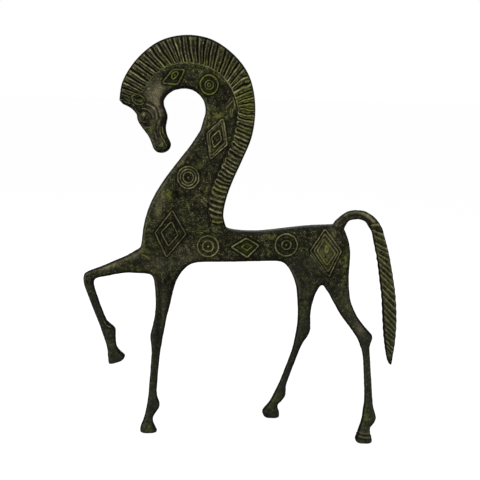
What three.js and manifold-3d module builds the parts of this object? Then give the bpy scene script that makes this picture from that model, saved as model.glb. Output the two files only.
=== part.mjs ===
// A bronze horse figurine, 300 mm high: flat castings that meet at seams, each held by a tenon and a pin.
// The horse looks towards -X, +Z is up, and its near side, the left one, faces -Y.
import * as THREE from "three";
import { mergeVertices } from "three/addons/utils/BufferGeometryUtils.js";
import Module from "manifold-3d";

const wasm = await Module();
wasm.setup();

// The flat body, in millimetres
const BODY_THICKNESS = 14;
const EDGE_ROUND = 4.5;
const BACK_HEIGHT = 159;
const CROUP_HEIGHT = 164.8;
const BELLY_HEIGHT = 136;
const CHEST_X = -74.6;
const BUTTOCK_X = 80.8;
const MIDDLE_HEIGHT = (BACK_HEIGHT + BELLY_HEIGHT) / 2;
const LOIN_HEIGHT = (BACK_HEIGHT + CROUP_HEIGHT) / 2 - 0.4;
const THROAT_RADIUS = 15.2;
const THROAT_CENTRE = [-42.9, BACK_HEIGHT + 88.6];
const THROAT_SWEEP = [100, -24];

// The comb of the mane: locks run from its root on the neck to its rim, and lean back down the neck
const LOCK_COUNT = 52;
const LOCK_DEPTH = 1.5;
const LOCK_LEAN = 0.13;
const LEAN_ONSET = 1.9;
const CREST_ROOT_THICKNESS = 15.2;
const CREST_RIM_THICKNESS = 9;
const CREST_EDGE_THICKNESS = 3.6;
const CREST_SHOULDER = 0.4;

// The tail: a smooth rod over its arch, then a brush of slanting strands
const TAIL_ROD_THICKNESS = 6.6;
const TAIL_BRUSH_THICKNESS = 8;
const STRAND_COUNT = 27;
const STRAND_DEPTH = 0.9;
const STRAND_SLANT = 3.2;
const CALM_STRANDS = 2;

// The head
const EYE_RADIUS = 2.3;
const EYE_PLACE = [-71.3, BACK_HEIGHT + 84];
const EYE_SIDE = 5.4;
const EAR_LENGTH = 13;
const EAR_WIDTH = 6;
const EAR_THICKNESS = 3.2;
const EAR_SINK = 0.4;
const EAR_PLACE = [-76, BACK_HEIGHT + 96.2];
const EAR_TILT = -0.16;

// Joints: tenons in sockets, round pins across them
const JOINT_GAP = 0.3;
const SLANTED_GAP = 1.5 * JOINT_GAP;
const SOCKET_CLEARANCE = 0.3;
const TENON_THICKNESS = 6;
const TAIL_TENON_THICKNESS = 4;
const TENON_ROOT = 3;
const PIN_CLEARANCE = 0.3;
const PIN_RECESS = 0.3;
const BLIND_PIN_REACH = 5;
const NECK_PIN_RADIUS = 1.5;
const FORELEG_PIN_RADIUS = 1.75;
const LIMB_PIN_RADIUS = 1.25;
const SLIM_PIN_RADIUS = 1;
const DOWEL_RADIUS = 1.5;
const DOWEL_REACH = 6;

// How finely round and flowing forms are faceted
const LIMB_SIDES = 12;
const RINGS_PER_SPAN = 2;
const EDGE_STEPS = 3;
const OUTLINE_STEPS = 2;
const THROAT_STEPS = 12;
const LEAST_STEP = 0.05;
const PIN_SIDES = 12;
const CUT_DEPTH = 200;

// Limits that stand clear of the figure in front, behind, under and over it
const FRONT_CLEAR = -145;
const REAR_CLEAR = 150;
const FLOOR_CLEAR = -5;
const TOP_CLEAR = 330;

// A point counted from the height of the back
const overBack = ([x, z]) => [x, BACK_HEIGHT + z];

// Where castings meet, as the [x, z] ends of each seam on the middle plane
const NECK_SEAM = [[CHEST_X + 4.1, BACK_HEIGHT + 19.4], [-12.2, BACK_HEIGHT + 3.6]];
const HEAD_SEAM = [[-72.3, 100.8], [-58.2, 93]].map(overBack);
const CREST_SEAM = [overBack([-90.8, 94.6]), HEAD_SEAM[0]];
const RAISED_SEAM = [[CHEST_X - 1.9, BELLY_HEIGHT + 9.5], [CHEST_X + 5.1, BELLY_HEIGHT - 11.2]];
const STANDING_SEAM = [[CHEST_X + 7.7, BELLY_HEIGHT - 5.6], [CHEST_X + 23.6, BELLY_HEIGHT - 22]];
const HIND_SEAM_HEIGHT = BELLY_HEIGHT - 24;
const HIND_SEAM = [[BUTTOCK_X - 40.8, HIND_SEAM_HEIGHT], [BUTTOCK_X + 1.2, HIND_SEAM_HEIGHT]];
const TAIL_SEAM = [[BUTTOCK_X - 13.4, CROUP_HEIGHT + 1.4], [BUTTOCK_X - 3.6, CROUP_HEIGHT - 2.6]];
const LEG_GAP_X = BUTTOCK_X - 19.2;
const HIND_ROOT_HEIGHT = BELLY_HEIGHT - 29;

// Each tenon: its carrier, the casting with its socket, and its pin, which is blind unless both its ends
// show; the tenon's axis runs through the pin, and it reaches this far beyond
const JOINTS = [
  {
    name: "neck_pin", carrier: "trunk", socket: "neck", seam: NECK_SEAM,
    pin: [CHEST_X + 24.6, BACK_HEIGHT + 27],
    towards: [0.3, 0.95], beyond: 6, width: 18, thick: TENON_THICKNESS, radius: NECK_PIN_RADIUS,
  },
  {
    name: "head_pin", carrier: "head", socket: "neck", seam: HEAD_SEAM,
    pin: overBack([-62.3, 102.2]),
    towards: [0.48, 0.87], beyond: 3.6, width: 6,
    thick: TENON_THICKNESS, radius: SLIM_PIN_RADIUS, blind: true,
  },
  {
    name: "raised_foreleg_pin", carrier: "raised_foreleg", socket: "trunk", seam: RAISED_SEAM,
    pin: [CHEST_X + 7.3, BELLY_HEIGHT + 1.1], towards: [0.95, 0.32], beyond: 4.4, width: 7,
    thick: TENON_THICKNESS, radius: LIMB_PIN_RADIUS, blind: true,
  },
  {
    name: "standing_foreleg_pin", carrier: "standing_foreleg", socket: "trunk", seam: STANDING_SEAM,
    pin: [CHEST_X + 20.7, BELLY_HEIGHT - 15.9], towards: [0.35, 0.94], beyond: 6.4, width: 6,
    thick: TENON_THICKNESS, radius: FORELEG_PIN_RADIUS,
  },
  {
    name: "far_hind_leg_pin", carrier: "far_hind_leg", socket: "trunk", seam: HIND_SEAM,
    pin: [BUTTOCK_X - 31.5, HIND_SEAM_HEIGHT + 6], towards: [0, 1], beyond: 4.6, width: 6,
    thick: TENON_THICKNESS, radius: LIMB_PIN_RADIUS, blind: true,
  },
  {
    name: "near_hind_leg_pin", carrier: "near_hind_leg", socket: "trunk", seam: HIND_SEAM,
    pin: [BUTTOCK_X - 7.2, HIND_SEAM_HEIGHT + 6], towards: [0, 1], beyond: 4.6, width: 6,
    thick: TENON_THICKNESS, radius: LIMB_PIN_RADIUS, blind: true,
  },
  {
    name: "tail_pin", carrier: "tail", socket: "trunk", seam: TAIL_SEAM,
    pin: [BUTTOCK_X - 10.8, CROUP_HEIGHT - 6.2], towards: [-0.38, -0.92], beyond: 3.4, width: 5,
    thick: TAIL_TENON_THICKNESS, radius: SLIM_PIN_RADIUS, blind: true,
  },
];

// Dowels between the neck and the comb, by their share of the way along its root
const CREST_DOWELS = { crest_dowel_front: 0.12, crest_dowel_top: 0.45, crest_dowel_rear: 0.8 };

// Outline points are [x, z]. The rim and the root of the comb run from the forelock back to the withers
const CREST_RIM = [
  [-90.9, 93.6], [-87.5, 108], [-78.7, 122.1], [-66, 133.6], [-53, 139.4], [-38, 141], [-23, 137.8],
  [-9.3, 128.9], [0.9, 117.2], [6.2, 103.6], [7.9, 87], [5.6, 69.6], [-0.9, 52.9], [-7.4, 38],
  [-12.2, 24], [-14.2, 11.8], [-12.2, 3],
].map(overBack);
const CREST_ROOT = [
  [-72.3, 100.8], [-69.2, 105], [-63.2, 112.6], [-53.6, 119], [-41, 120.9], [-28.5, 118.9],
  [-17.5, 113.3], [-9.8, 104], [-5.4, 93], [-5, 82], [-7.6, 69], [-12.6, 55], [-18.9, 41.4],
  [-23.2, 28], [-24.3, 16], [-21, 3],
].map(overBack);
const FORELOCK = [[-82.5, 89.9], [-79.9, 87.9], [-78, 85.6]].map(overBack);
const THROAT_NOTCH = [[-58.4, 94.6], [-55.9, 98.8], [-50.8, 102.4]].map(overBack);
const BREAST = [
  ...[[-31.3, 74.2], [-38.4, 63], [-46.9, 52.1], [-58, 37.1], [CHEST_X + 7.8, 22.1]].map(overBack),
  [CHEST_X + 2.5, MIDDLE_HEIGHT + 18.5], [CHEST_X + 0.3, BELLY_HEIGHT + 16],
  [CHEST_X - 0.8, BELLY_HEIGHT + 10], [CHEST_X - 5.2, BELLY_HEIGHT + 5.6],
  [CHEST_X - 10.4, BELLY_HEIGHT + 3.4],
];
const FORE_CROTCH = [
  [CHEST_X + 3.6, BELLY_HEIGHT - 10.2], [CHEST_X + 7.4, BELLY_HEIGHT - 11.4],
  [CHEST_X + 9.1, BELLY_HEIGHT - 15], [CHEST_X + 10.1, BELLY_HEIGHT - 23],
];
const BELLY = [
  [CHEST_X + 23.3, BELLY_HEIGHT - 23.4], [CHEST_X + 25.8, BELLY_HEIGHT - 15.6],
  [CHEST_X + 30.4, BELLY_HEIGHT - 7.8], [CHEST_X + 36.6, BELLY_HEIGHT - 2.4],
  [CHEST_X + 45.6, BELLY_HEIGHT - 0.6], [-8, BELLY_HEIGHT], [13, BELLY_HEIGHT + 0.8],
  [BUTTOCK_X - 53.8, BELLY_HEIGHT + 1.2], [BUTTOCK_X - 47.4, BELLY_HEIGHT - 1.6],
  [BUTTOCK_X - 43.2, BELLY_HEIGHT - 8], [BUTTOCK_X - 40.2, BELLY_HEIGHT - 15],
  [BUTTOCK_X - 38.6, BELLY_HEIGHT - 22],
];
const HIND_CROTCH = [
  [BUTTOCK_X - 23.8, BELLY_HEIGHT - 20.6], [BUTTOCK_X - 21.2, BELLY_HEIGHT - 17.4],
  [BUTTOCK_X - 19.3, BELLY_HEIGHT - 16.9], [BUTTOCK_X - 16, BELLY_HEIGHT - 21.4],
  [BUTTOCK_X - 13.4, BELLY_HEIGHT - 25.2],
];
const haunch = (share) => THREE.MathUtils.lerp(BELLY_HEIGHT - 5.5, CROUP_HEIGHT - 8, share);
const BUTTOCK = [
  [BUTTOCK_X + 0.8, BELLY_HEIGHT - 23.5], [BUTTOCK_X - 0.1, BELLY_HEIGHT - 15],
  [BUTTOCK_X - 0.3, haunch(0)], [BUTTOCK_X + 0.1, haunch(0.4)], [BUTTOCK_X - 0.8, haunch(0.74)],
  [BUTTOCK_X - 3, haunch(1)],
];
const BACK = [
  [BUTTOCK_X - 23, CROUP_HEIGHT - 0.5], [BUTTOCK_X - 34.8, CROUP_HEIGHT - 1.4], [31.8, LOIN_HEIGHT],
  [15.5, BACK_HEIGHT + 0.4], [2.1, BACK_HEIGHT], [-8.2, BACK_HEIGHT + 0.9],
  [-12.4, BACK_HEIGHT + 2.6], [-14, BACK_HEIGHT + 6],
];

// Corners of the body's outline that lie hidden inside the head, the legs and the tail
const HEAD_ROOT = [[-73, 80], [-60, 80], [-58.2, 91.4]].map(overBack);
const RAISED_ROOT = [[CHEST_X - 8, BELLY_HEIGHT - 9.8]];
const STANDING_ROOT = [[CHEST_X + 10.2, BELLY_HEIGHT - 29], [CHEST_X + 21.2, BELLY_HEIGHT - 29]];
const FAR_HIND_ROOT = [[BUTTOCK_X - 37.8, HIND_ROOT_HEIGHT], [BUTTOCK_X - 26.4, HIND_ROOT_HEIGHT]];
const NEAR_HIND_ROOT = [[BUTTOCK_X - 10.8, HIND_ROOT_HEIGHT], [BUTTOCK_X + 1.8, HIND_ROOT_HEIGHT]];
const TAIL_ROOT = [[BUTTOCK_X - 4.6, CROUP_HEIGHT - 4], [BUTTOCK_X - 13, CROUP_HEIGHT]];

// A station of a limb: two [x, z] points of its outline, its thickness, how far it stands to the far
// side, and how square its section is, from 2 for an ellipse upwards
const station = (from, to, thick, aside = 0, square = 2.3) => [...from, ...to, thick, aside, square];

// A station of an upright limb is cut level: its height, then its front and back in x
const level = (height, front, back, thick, aside, square) =>
  station([front, height], [back, height], thick, aside, square);

// Stations moved along x and z, from where they are counted to where they belong
const shifted = (dx, dz, stations) =>
  stations.map(([ax, az, bx, bz, ...rest]) => [ax + dx, az + dz, bx + dx, bz + dz, ...rest]);

// Legs are counted from the chest or the buttock, low down from the floor and higher up from the belly
const STANDING_FORELEG = shifted(CHEST_X, 0, [
  level(BELLY_HEIGHT - 2, 10.6, 23.6, 13.4, 0, 3.2),
  level(BELLY_HEIGHT - 16, 9.4, 25.2, BODY_THICKNESS, 0, 3.2),
  level(BELLY_HEIGHT - 24, 10.1, 23.2, BODY_THICKNESS - 0.6, -0.1, 3),
  level(BELLY_HEIGHT - 34, 10.2, 21.1, 11.6, -0.3, 2.6), // forearm
  level(BELLY_HEIGHT - 44, 9.4, 18.6, 9.8, -0.5),
  level(BELLY_HEIGHT - 52, 7.7, 17.1, 9.4, -0.7),
  level(BELLY_HEIGHT - 59, 6, 15.8, 9.4, -0.9), // knee
  level(BELLY_HEIGHT - 66, 6.6, 14.6, 8, -1.2),
  level(BELLY_HEIGHT - 75, 6.9, 13.1, 6.4, -1.5),
  level(33, 4.8, 10.7, 6.6, -2.7), // cannon
  level(25.5, 4, 12, 8, -3),
  level(20.6, 3.3, 13.2, 8.4, -3.3), // fetlock with its spur behind
  level(16.4, 2.4, 11, 7.8, -3.5),
  level(12.4, 1.6, 8.4, 7.2, -3.7), // pastern
  level(8.4, 0.2, 7.8, 8.2, -3.9),
  level(4.2, -1.5, 9.2, 10.2, -4.2),
  level(0, -2, 11.3, 10.8, -4.5, 2.5), // sole
]);
const FAR_HIND_LEG = shifted(BUTTOCK_X, 0, [
  level(BELLY_HEIGHT, -41.8, -20.8, 12, 0, 3),
  level(BELLY_HEIGHT - 14, -39.4, -20.4, BODY_THICKNESS, 0, 3.2),
  level(HIND_SEAM_HEIGHT, -38.4, -24.6, BODY_THICKNESS - 0.6, 0.3, 3), // thigh
  level(BELLY_HEIGHT - 33, -37.6, -26.8, 11.6, 1.3, 2.6),
  level(BELLY_HEIGHT - 43, -37.1, -27.6, 10, 2.6),
  level(BELLY_HEIGHT - 54, -37.6, -27, 9.8, 4.6), // hock, its point behind
  level(BELLY_HEIGHT - 60, -38.4, -29.2, 9.2, 5.8),
  level(BELLY_HEIGHT - 65, -39.1, -32, 8, 6.9),
  level(BELLY_HEIGHT - 73, -40.5, -35, 6.6, 8.7),
  level(38, -47.6, -42, 6.2, 15.2), // cannon
  level(30, -50.3, -43.7, 7.2, 17.4),
  level(22, -53.3, -43.7, 8.6, 19.7), // fetlock
  level(16.4, -55.6, -46.5, 8.2, 21.3),
  level(12.6, -57.5, -49.3, 7.8, 22.5), // pastern
  level(8.4, -60.5, -49.4, 9, 23.9),
  level(4.4, -62, -48, 10.2, 25.6),
  level(0, -60, -48, 9.8, 27.2, 2.5), // sole
]);
const NEAR_HIND_LEG = shifted(BUTTOCK_X, 0, [
  level(BELLY_HEIGHT + 6, -18.8, -1.8, 12, 0, 3),
  level(BELLY_HEIGHT - 12, -19.3, -0.8, BODY_THICKNESS, 0, 3.2),
  level(HIND_SEAM_HEIGHT, -14.4, 0.9, BODY_THICKNESS - 0.6, -0.1, 3), // thigh
  level(BELLY_HEIGHT - 32, -9.9, 3, 12.2, -0.6, 2.6),
  level(BELLY_HEIGHT - 41, -4.4, 7.4, 10.8, -1.3),
  level(BELLY_HEIGHT - 49, 1.8, 13.3, 10, -2), // gaskin
  level(BELLY_HEIGHT - 55.6, 6.6, 19.4, 9.8, -2.7), // point of the hock
  level(BELLY_HEIGHT - 60, 9.2, 19.1, 9, -3.2),
  level(BELLY_HEIGHT - 64.4, 10.8, 17.7, 7.8, -3.8),
  level(BELLY_HEIGHT - 72, 13, 18.2, 6.4, -4.8),
  level(34, 14.9, 20.8, 6.4, -9.5), // cannon
  level(26, 14.2, 21.6, 7.6, -11),
  level(18, 13.2, 24.1, 8.8, -12.6), // fetlock
  level(13.4, 12, 21.8, 8.2, -13.6),
  level(10.6, 11.1, 19.6, 7.8, -14.2), // pastern
  level(6, 9.6, 19.8, 9.4, -15.2),
  level(3, 8.2, 20.9, 10.6, -15.9),
  level(0, 9, 21.2, 10, -16.4, 2.5), // sole
]);
const RAISED_FORELEG = shifted(CHEST_X, BELLY_HEIGHT, [
  station([4.6, 7], [9.6, -7], 12, 0, 3),
  station([-2, 8.4], [3.6, -10.2], BODY_THICKNESS, 0, 3.2),
  station([-9.8, 3.6], [-5, -9.9], 12.6, 0, 2.8),
  station([-19.4, -0.8], [-15.8, -11], 10.8, 0.4), // forearm
  station([-28.4, -5.1], [-25.4, -13.1], 9.4, 0.8),
  station([-37, -8.6], [-33.2, -14.8], 8.8, 1.3),
  station([-43.8, -12.2], [-36.2, -16.6], 9, 1.8), // knee
  station([-44.3, -19.8], [-37.1, -20.4], 8.2, 2.1),
  station([-41.6, -29.3], [-34.9, -29.3], 6.6, 2.6),
  station([-37.5, -41.2], [-31, -41.2], 6.2, 3.2), // cannon
  station([-34.4, -50], [-27.6, -49.8], 7, 3.7),
  station([-32.9, -54.6], [-21.9, -55.2], 8.2, 4), // fetlock
  station([-31.6, -59], [-21.3, -58.8], 8.2, 4.2),
  station([-29.7, -65], [-21.4, -64.4], 7.2, 4.5), // pastern
  station([-28.2, -71], [-20.7, -70.8], 7.6, 4.8),
  station([-27.7, -76.8], [-17.2, -75.6], 9.6, 5),
  station([-27.5, -81], [-14.3, -77.8], 10, 5.1),
  station([-27.1, -84.6], [-15.9, -81.3], 9.6, 5.2, 2.5), // sole
]);
const HEAD = shifted(0, BACK_HEIGHT, [
  level(98, -71, -60, 13, 0, 3),
  level(91.5, -76, -58.1, 13.8, 0, 3),
  level(84.4, -77.6, -55.4, 14.4, 0, 2.8), // brow
  level(79.6, -76.6, -56, 14, 0, 2.6), // cheek
  level(74.6, -73.4, -56.6, 12.6, 0, 2.4),
  level(69.6, -69.5, -55.6, 11, 0, 2.4),
  level(64.4, -67, -53, 10.4, 0, 2.6), // nostrils
  level(60.4, -65.7, -53.8, 9.8, 0, 2.6),
  level(58.2, -63.6, -56.2, 8, 0, 2.4),
  level(57.3, -61, -58.6, 4, 0, 2.2),
]);
const TAIL_ROD = shifted(BUTTOCK_X, CROUP_HEIGHT, [
  station([-13.8, -5.8], [-6.6, -9.2], 7, 0),
  station([-13.2, 1.2], [-5, -2.6], 7.4, 0),
  station([-9.2, 5.6], [-3, 1.8], TAIL_ROD_THICKNESS, 0),
  station([-3.4, 10], [-0.8, 3.8], TAIL_ROD_THICKNESS, 0),
  station([3.6, 11.4], [3.8, 4.7], TAIL_ROD_THICKNESS, 0), // top of the arch
  station([10.5, 10.4], [8.5, 4], TAIL_ROD_THICKNESS, 0),
  station([16.3, 7], [12.4, 1.4], TAIL_ROD_THICKNESS, 0),
]);
const TAIL_BRUSH = [
  TAIL_ROD.at(-1),
  ...shifted(BUTTOCK_X, CROUP_HEIGHT, [
    station([21.6, 1.2], [14.1, -3], 7, 0),
    station([25.4, -6.4], [15.7, -7.4], 7.4, 0),
    station([28.5, -15.2], [17.3, -15.4], TAIL_BRUSH_THICKNESS, 0),
    station([32.1, -30.2], [20.9, -30.4], TAIL_BRUSH_THICKNESS, 0),
    station([34.9, -43.8], [23.1, -44], TAIL_BRUSH_THICKNESS, 0),
    station([37.1, -58.8], [25.5, -58.8], TAIL_BRUSH_THICKNESS, 0),
    station([38.1, -74.4], [26.9, -74.4], TAIL_BRUSH_THICKNESS, 0),
    station([37.6, -89.4], [28.7, -89.4], 7, 0),
    station([36.4, -100.6], [30.7, -100.6], 5.4, 0),
    station([35.6, -105.6], [32.4, -106], 3.6, 0),
    station([34.6, -107.8], [33.6, -108], 1.6, 0),
  ]),
];

const vector = ([x, z]) => new THREE.Vector2(x, z);
const curveThrough = (points) => new THREE.SplineCurve(points.map(vector));

// A closed solid from a geometry, with its faces turned outwards
function solidOf(geometry) {
  const bare = geometry.clone();
  bare.deleteAttribute("normal");
  bare.deleteAttribute("uv");
  const merged = mergeVertices(bare, 1e-4);
  const vertProperties = merged.attributes.position.array;
  const triVerts = new Uint32Array(merged.index.array);
  const made = new wasm.Manifold(new wasm.Mesh({ numProp: 3, vertProperties, triVerts }));
  if (made.volume() > 0) return made;
  return new wasm.Manifold(new wasm.Mesh({ numProp: 3, vertProperties, triVerts: triVerts.reverse() }));
}

function geometryOf(solid) {
  const mesh = solid.getMesh();
  const geometry = new THREE.BufferGeometry();
  geometry.setAttribute("position", new THREE.BufferAttribute(mesh.vertProperties, 3));
  geometry.setIndex(new THREE.BufferAttribute(mesh.triVerts, 1));
  const faceted = geometry.toNonIndexed();
  faceted.computeVertexNormals();
  return faceted;
}

// An outline extruded across the figure, centred on its middle plane, with rounded or square edges
function slab(shape, thickness, round = 0) {
  const points = shape.getPoints(OUTLINE_STEPS);
  const apart = points.filter((point, i) => point.distanceTo(points.at(i - 1)) > LEAST_STEP);
  const geometry = new THREE.ExtrudeGeometry(new THREE.Shape(apart), {
    depth: thickness - 2 * round,
    bevelEnabled: round > 0,
    bevelThickness: round,
    bevelSize: round,
    bevelOffset: -round,
    bevelSegments: EDGE_STEPS,
  });
  geometry.translate(0, 0, round - thickness / 2);
  geometry.rotateX(Math.PI / 2);
  return solidOf(geometry);
}

// A region of the middle plane, cut right across the figure
function region(corners) {
  return slab(new THREE.Shape(corners.map(vector)), CUT_DEPTH);
}

// The same region with its cut moved, so that the two castings keep the gap of a seam
function widened(corners, [dx, dz]) {
  return region(corners.map(([x, z]) => [x + dx, z + dz]));
}

// A skin over rings of points, each ring with the same number of points, closed at both ends
function skin(rings) {
  const sides = rings[0].length;
  const points = rings.flat();
  const index = [];
  for (let ring = 0; ring + 1 < rings.length; ring++) {
    for (let side = 0; side < sides; side++) {
      const a = ring * sides + side;
      const b = ring * sides + ((side + 1) % sides);
      index.push(a, b, a + sides, b, b + sides, a + sides);
    }
  }
  const middle = (ring) =>
    ring.reduce((sum, point) => sum.add(point), new THREE.Vector3()).divideScalar(sides);
  points.push(middle(rings[0]), middle(rings.at(-1)));
  const last = (rings.length - 1) * sides;
  for (let side = 0; side < sides; side++) {
    const next = (side + 1) % sides;
    index.push(points.length - 2, next, side, points.length - 1, last + side, last + next);
  }
  const geometry = new THREE.BufferGeometry().setFromPoints(points);
  geometry.setIndex(index);
  return solidOf(geometry);
}

// Catmull-Rom between four neighbouring stations, value by value
function between(before, from, to, after, share) {
  return from.map((value, i) => {
    const slopeFrom = (to[i] - before[i]) / 2;
    const slopeTo = (after[i] - value) / 2;
    const rest = 3 * (to[i] - value) - 2 * slopeFrom - slopeTo;
    const bend = 2 * (value - to[i]) + slopeFrom + slopeTo;
    return value + share * (slopeFrom + share * (rest + share * bend));
  });
}

// Stations filled in between with a flowing curve, the given number of steps to each span
function flow(stations, steps) {
  const filled = [];
  for (let span = 0; span + 1 < stations.length; span++) {
    const before = stations[Math.max(span - 1, 0)];
    const after = stations[Math.min(span + 2, stations.length - 1)];
    for (let step = 0; step < steps; step++) {
      filled.push(between(before, stations[span], stations[span + 1], after, step / steps));
    }
  }
  return [...filled, stations.at(-1)];
}

// A ring round a station, grown by its swell; its slant carries the second edge ahead of the first
function ringAt([ax, az, bx, bz, thick, aside, square], swell = 0, slant = 0) {
  const power = 2 / square;
  const rounded = (value) => Math.sign(value) * Math.abs(value) ** power;
  const width = Math.hypot(bx - ax, bz - az);
  const grown = 1 + (2 * swell) / width;
  const ahead = [(slant * (az - bz)) / width, (slant * (bx - ax)) / width];
  return Array.from({ length: LIMB_SIDES }, (_, side) => {
    const angle = (2 * Math.PI * side) / LIMB_SIDES;
    const across = rounded(Math.cos(angle));
    const out = rounded(Math.sin(angle));
    const x = (ax + bx) / 2 + across * ((grown * (bx - ax)) / 2 - ahead[0]);
    const z = (az + bz) / 2 + across * ((grown * (bz - az)) / 2 - ahead[1]);
    return new THREE.Vector3(x, aside + out * (thick / 2 + swell), z);
  });
}

function limb(stations) {
  return skin(flow(stations, RINGS_PER_SPAN).map((ring) => ringAt(ring)));
}

// The brush of the tail: each strand is a swollen ring between two narrow ones, slanted to the rear
function tailBrush() {
  const rings = [ringAt(TAIL_BRUSH[0])];
  const spans = TAIL_BRUSH.length - 1;
  const stepsPerStrand = 2;
  const count = STRAND_COUNT * stepsPerStrand;
  for (let step = 1; step < count; step++) {
    const along = (step / count) * spans;
    const span = Math.min(Math.floor(along), spans - 1);
    const before = TAIL_BRUSH[Math.max(span - 1, 0)];
    const after = TAIL_BRUSH[Math.min(span + 2, spans)];
    const ring = between(before, TAIL_BRUSH[span], TAIL_BRUSH[span + 1], after, along - span);
    const calm = Math.min(1, Math.min(step, count - step) / stepsPerStrand / CALM_STRANDS);
    const swell = step % stepsPerStrand ? STRAND_DEPTH / 3 : -STRAND_DEPTH / 2;
    rings.push(ringAt(ring, swell * calm, STRAND_SLANT * calm));
  }
  rings.push(ringAt(TAIL_BRUSH.at(-1)));
  return skin(rings);
}

// The comb of the mane: each lock is a valley and then a round crown, seen along the rim
function crestComb() {
  const rim = curveThrough(CREST_RIM);
  const root = curveThrough(CREST_ROOT);
  const lockProfile = [0, 1, 1];
  // Places across the comb, with the half thickness of a crown there and how deep its valley is
  const across = [
    [0, BODY_THICKNESS / 2 - CREST_SHOULDER, 0.1],
    [0.07, CREST_ROOT_THICKNESS / 2, 1],
    [0.88, CREST_RIM_THICKNESS / 2, 0.8],
    [1, CREST_EDGE_THICKNESS / 2, 0.2],
  ];
  const columns = LOCK_COUNT * lockProfile.length;
  const rings = [];
  for (let column = 0; column <= columns; column++) {
    const share = column / columns;
    const lean = LOCK_LEAN * Math.sin(Math.PI * share ** LEAN_ONSET);
    const outer = rim.getPointAt(share);
    const inner = root.getPointAt(Math.max(share - lean, 0));
    const valley = 1 - lockProfile[column % lockProfile.length];
    const side = across.map(([reach, half, depth]) => {
      const place = inner.clone().lerp(outer, reach);
      return new THREE.Vector3(place.x, half - LOCK_DEPTH * valley * depth, place.y);
    });
    const far = side.map((point) => new THREE.Vector3(point.x, -point.y, point.z)).reverse();
    rings.push([...side, ...far]);
  }
  return skin(rings.reverse());
}

const straight = (shape, corners) => corners.forEach((corner) => shape.lineTo(...corner));

// A straight step to the first point of a stretch, then a curve through the others
function follow(shape, [first, ...others]) {
  shape.lineTo(...first);
  shape.splineThru(others.map(vector));
}

function bodyOutline() {
  const shape = new THREE.Shape();
  shape.moveTo(...CREST_RIM[0]);
  follow(shape, FORELOCK);
  straight(shape, HEAD_ROOT);
  follow(shape, THROAT_NOTCH);
  const [from, to] = THROAT_SWEEP.map(THREE.MathUtils.degToRad);
  const throat = new THREE.EllipseCurve(...THROAT_CENTRE, THROAT_RADIUS, THROAT_RADIUS, from, to, true);
  straight(shape, throat.getPoints(THROAT_STEPS).map((point) => point.toArray()));
  follow(shape, BREAST);
  straight(shape, RAISED_ROOT);
  follow(shape, FORE_CROTCH);
  straight(shape, STANDING_ROOT);
  follow(shape, BELLY);
  straight(shape, FAR_HIND_ROOT);
  follow(shape, HIND_CROTCH);
  straight(shape, NEAR_HIND_ROOT);
  follow(shape, BUTTOCK);
  straight(shape, TAIL_ROOT);
  follow(shape, BACK);
  follow(shape, CREST_RIM.slice(1, -1).reverse());
  return shape;
}

// The place on a seam that a joint's axis crosses, seen from its pin
function seatOf({ seam, pin, towards }) {
  const start = vector(seam[0]);
  const along = vector(seam[1]).sub(start);
  const axis = vector(towards).normalize();
  const reach = vector(pin).sub(start);
  return vector(pin).addScaledVector(axis, -reach.cross(along) / axis.cross(along));
}

// A tenon rooted in its own casting, through its seat to its tip; grown on all sides it is the socket
function tenon(joint, grown = 0) {
  const seat = seatOf(joint);
  const axis = vector(joint.towards).normalize();
  const length = TENON_ROOT + seat.distanceTo(vector(joint.pin)) + joint.beyond + grown;
  const block = new THREE.BoxGeometry(joint.width + 2 * grown, joint.thick + 2 * grown, length);
  block.translate(0, 0, length / 2 - TENON_ROOT);
  block.rotateY(Math.atan2(axis.x, axis.y));
  block.translate(seat.x, 0, seat.y);
  return solidOf(block);
}

// A round rod across the figure, from one depth to another
function rodAcross([x, z], radius, from, to) {
  const rod = new THREE.CylinderGeometry(radius, radius, to - from, PIN_SIDES);
  rod.translate(x, (from + to) / 2, z);
  return solidOf(rod);
}

// A round rod in the middle plane, from one point to another
function rodAlong(from, to, radius) {
  const start = vector(from);
  const along = vector(to).sub(start);
  const rod = new THREE.CylinderGeometry(radius, radius, along.length(), PIN_SIDES);
  rod.rotateX(Math.PI / 2);
  rod.translate(0, 0, along.length() / 2);
  rod.rotateY(Math.atan2(along.x, along.y));
  rod.translate(start.x, 0, start.y);
  return solidOf(rod);
}

// The almond of an ear on one side of the head
function ear(side) {
  const bead = new THREE.SphereGeometry(1, 12, 6);
  bead.scale(EAR_LENGTH / 2, EAR_THICKNESS / 2, EAR_WIDTH / 2);
  bead.rotateY(EAR_TILT);
  bead.translate(EAR_PLACE[0], side * (BODY_THICKNESS / 2 - EAR_SINK), EAR_PLACE[1]);
  return solidOf(bead);
}

function eye(side) {
  const bead = new THREE.SphereGeometry(EYE_RADIUS, 10, 6);
  bead.translate(EYE_PLACE[0], side * EYE_SIDE, EYE_PLACE[1]);
  return solidOf(bead);
}

// Regions of the castings on the middle plane
const [neckFront, neckBack] = NECK_SEAM;
const neckRegion = [
  [neckFront[0] - 30, neckFront[1] + 8], neckFront, neckBack, [neckBack[0] + 4, neckBack[1] - 1],
  [neckBack[0] + 40, neckBack[1] + 12], [neckBack[0] + 40, TOP_CLEAR], [FRONT_CLEAR, TOP_CLEAR],
];
const headRegion = [
  [CREST_SEAM[0][0] - 9.2, CREST_SEAM[0][1] - 3], HEAD_SEAM[0], HEAD_SEAM[1],
  ...[[-50, 88], [-50, 53], [-100, 53]].map(overBack),
];
const raisedRegion = [
  [RAISED_SEAM[0][0] - 1.2, RAISED_SEAM[0][1] + 3.5], [RAISED_SEAM[1][0] + 1.1, RAISED_SEAM[1][1] - 3.3],
  [CHEST_X - 5.4, BELLY_HEIGHT - 26], [CHEST_X - 10.4, FLOOR_CLEAR], [FRONT_CLEAR, FLOOR_CLEAR],
  [FRONT_CLEAR, RAISED_SEAM[0][1] + 3.5],
];
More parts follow.
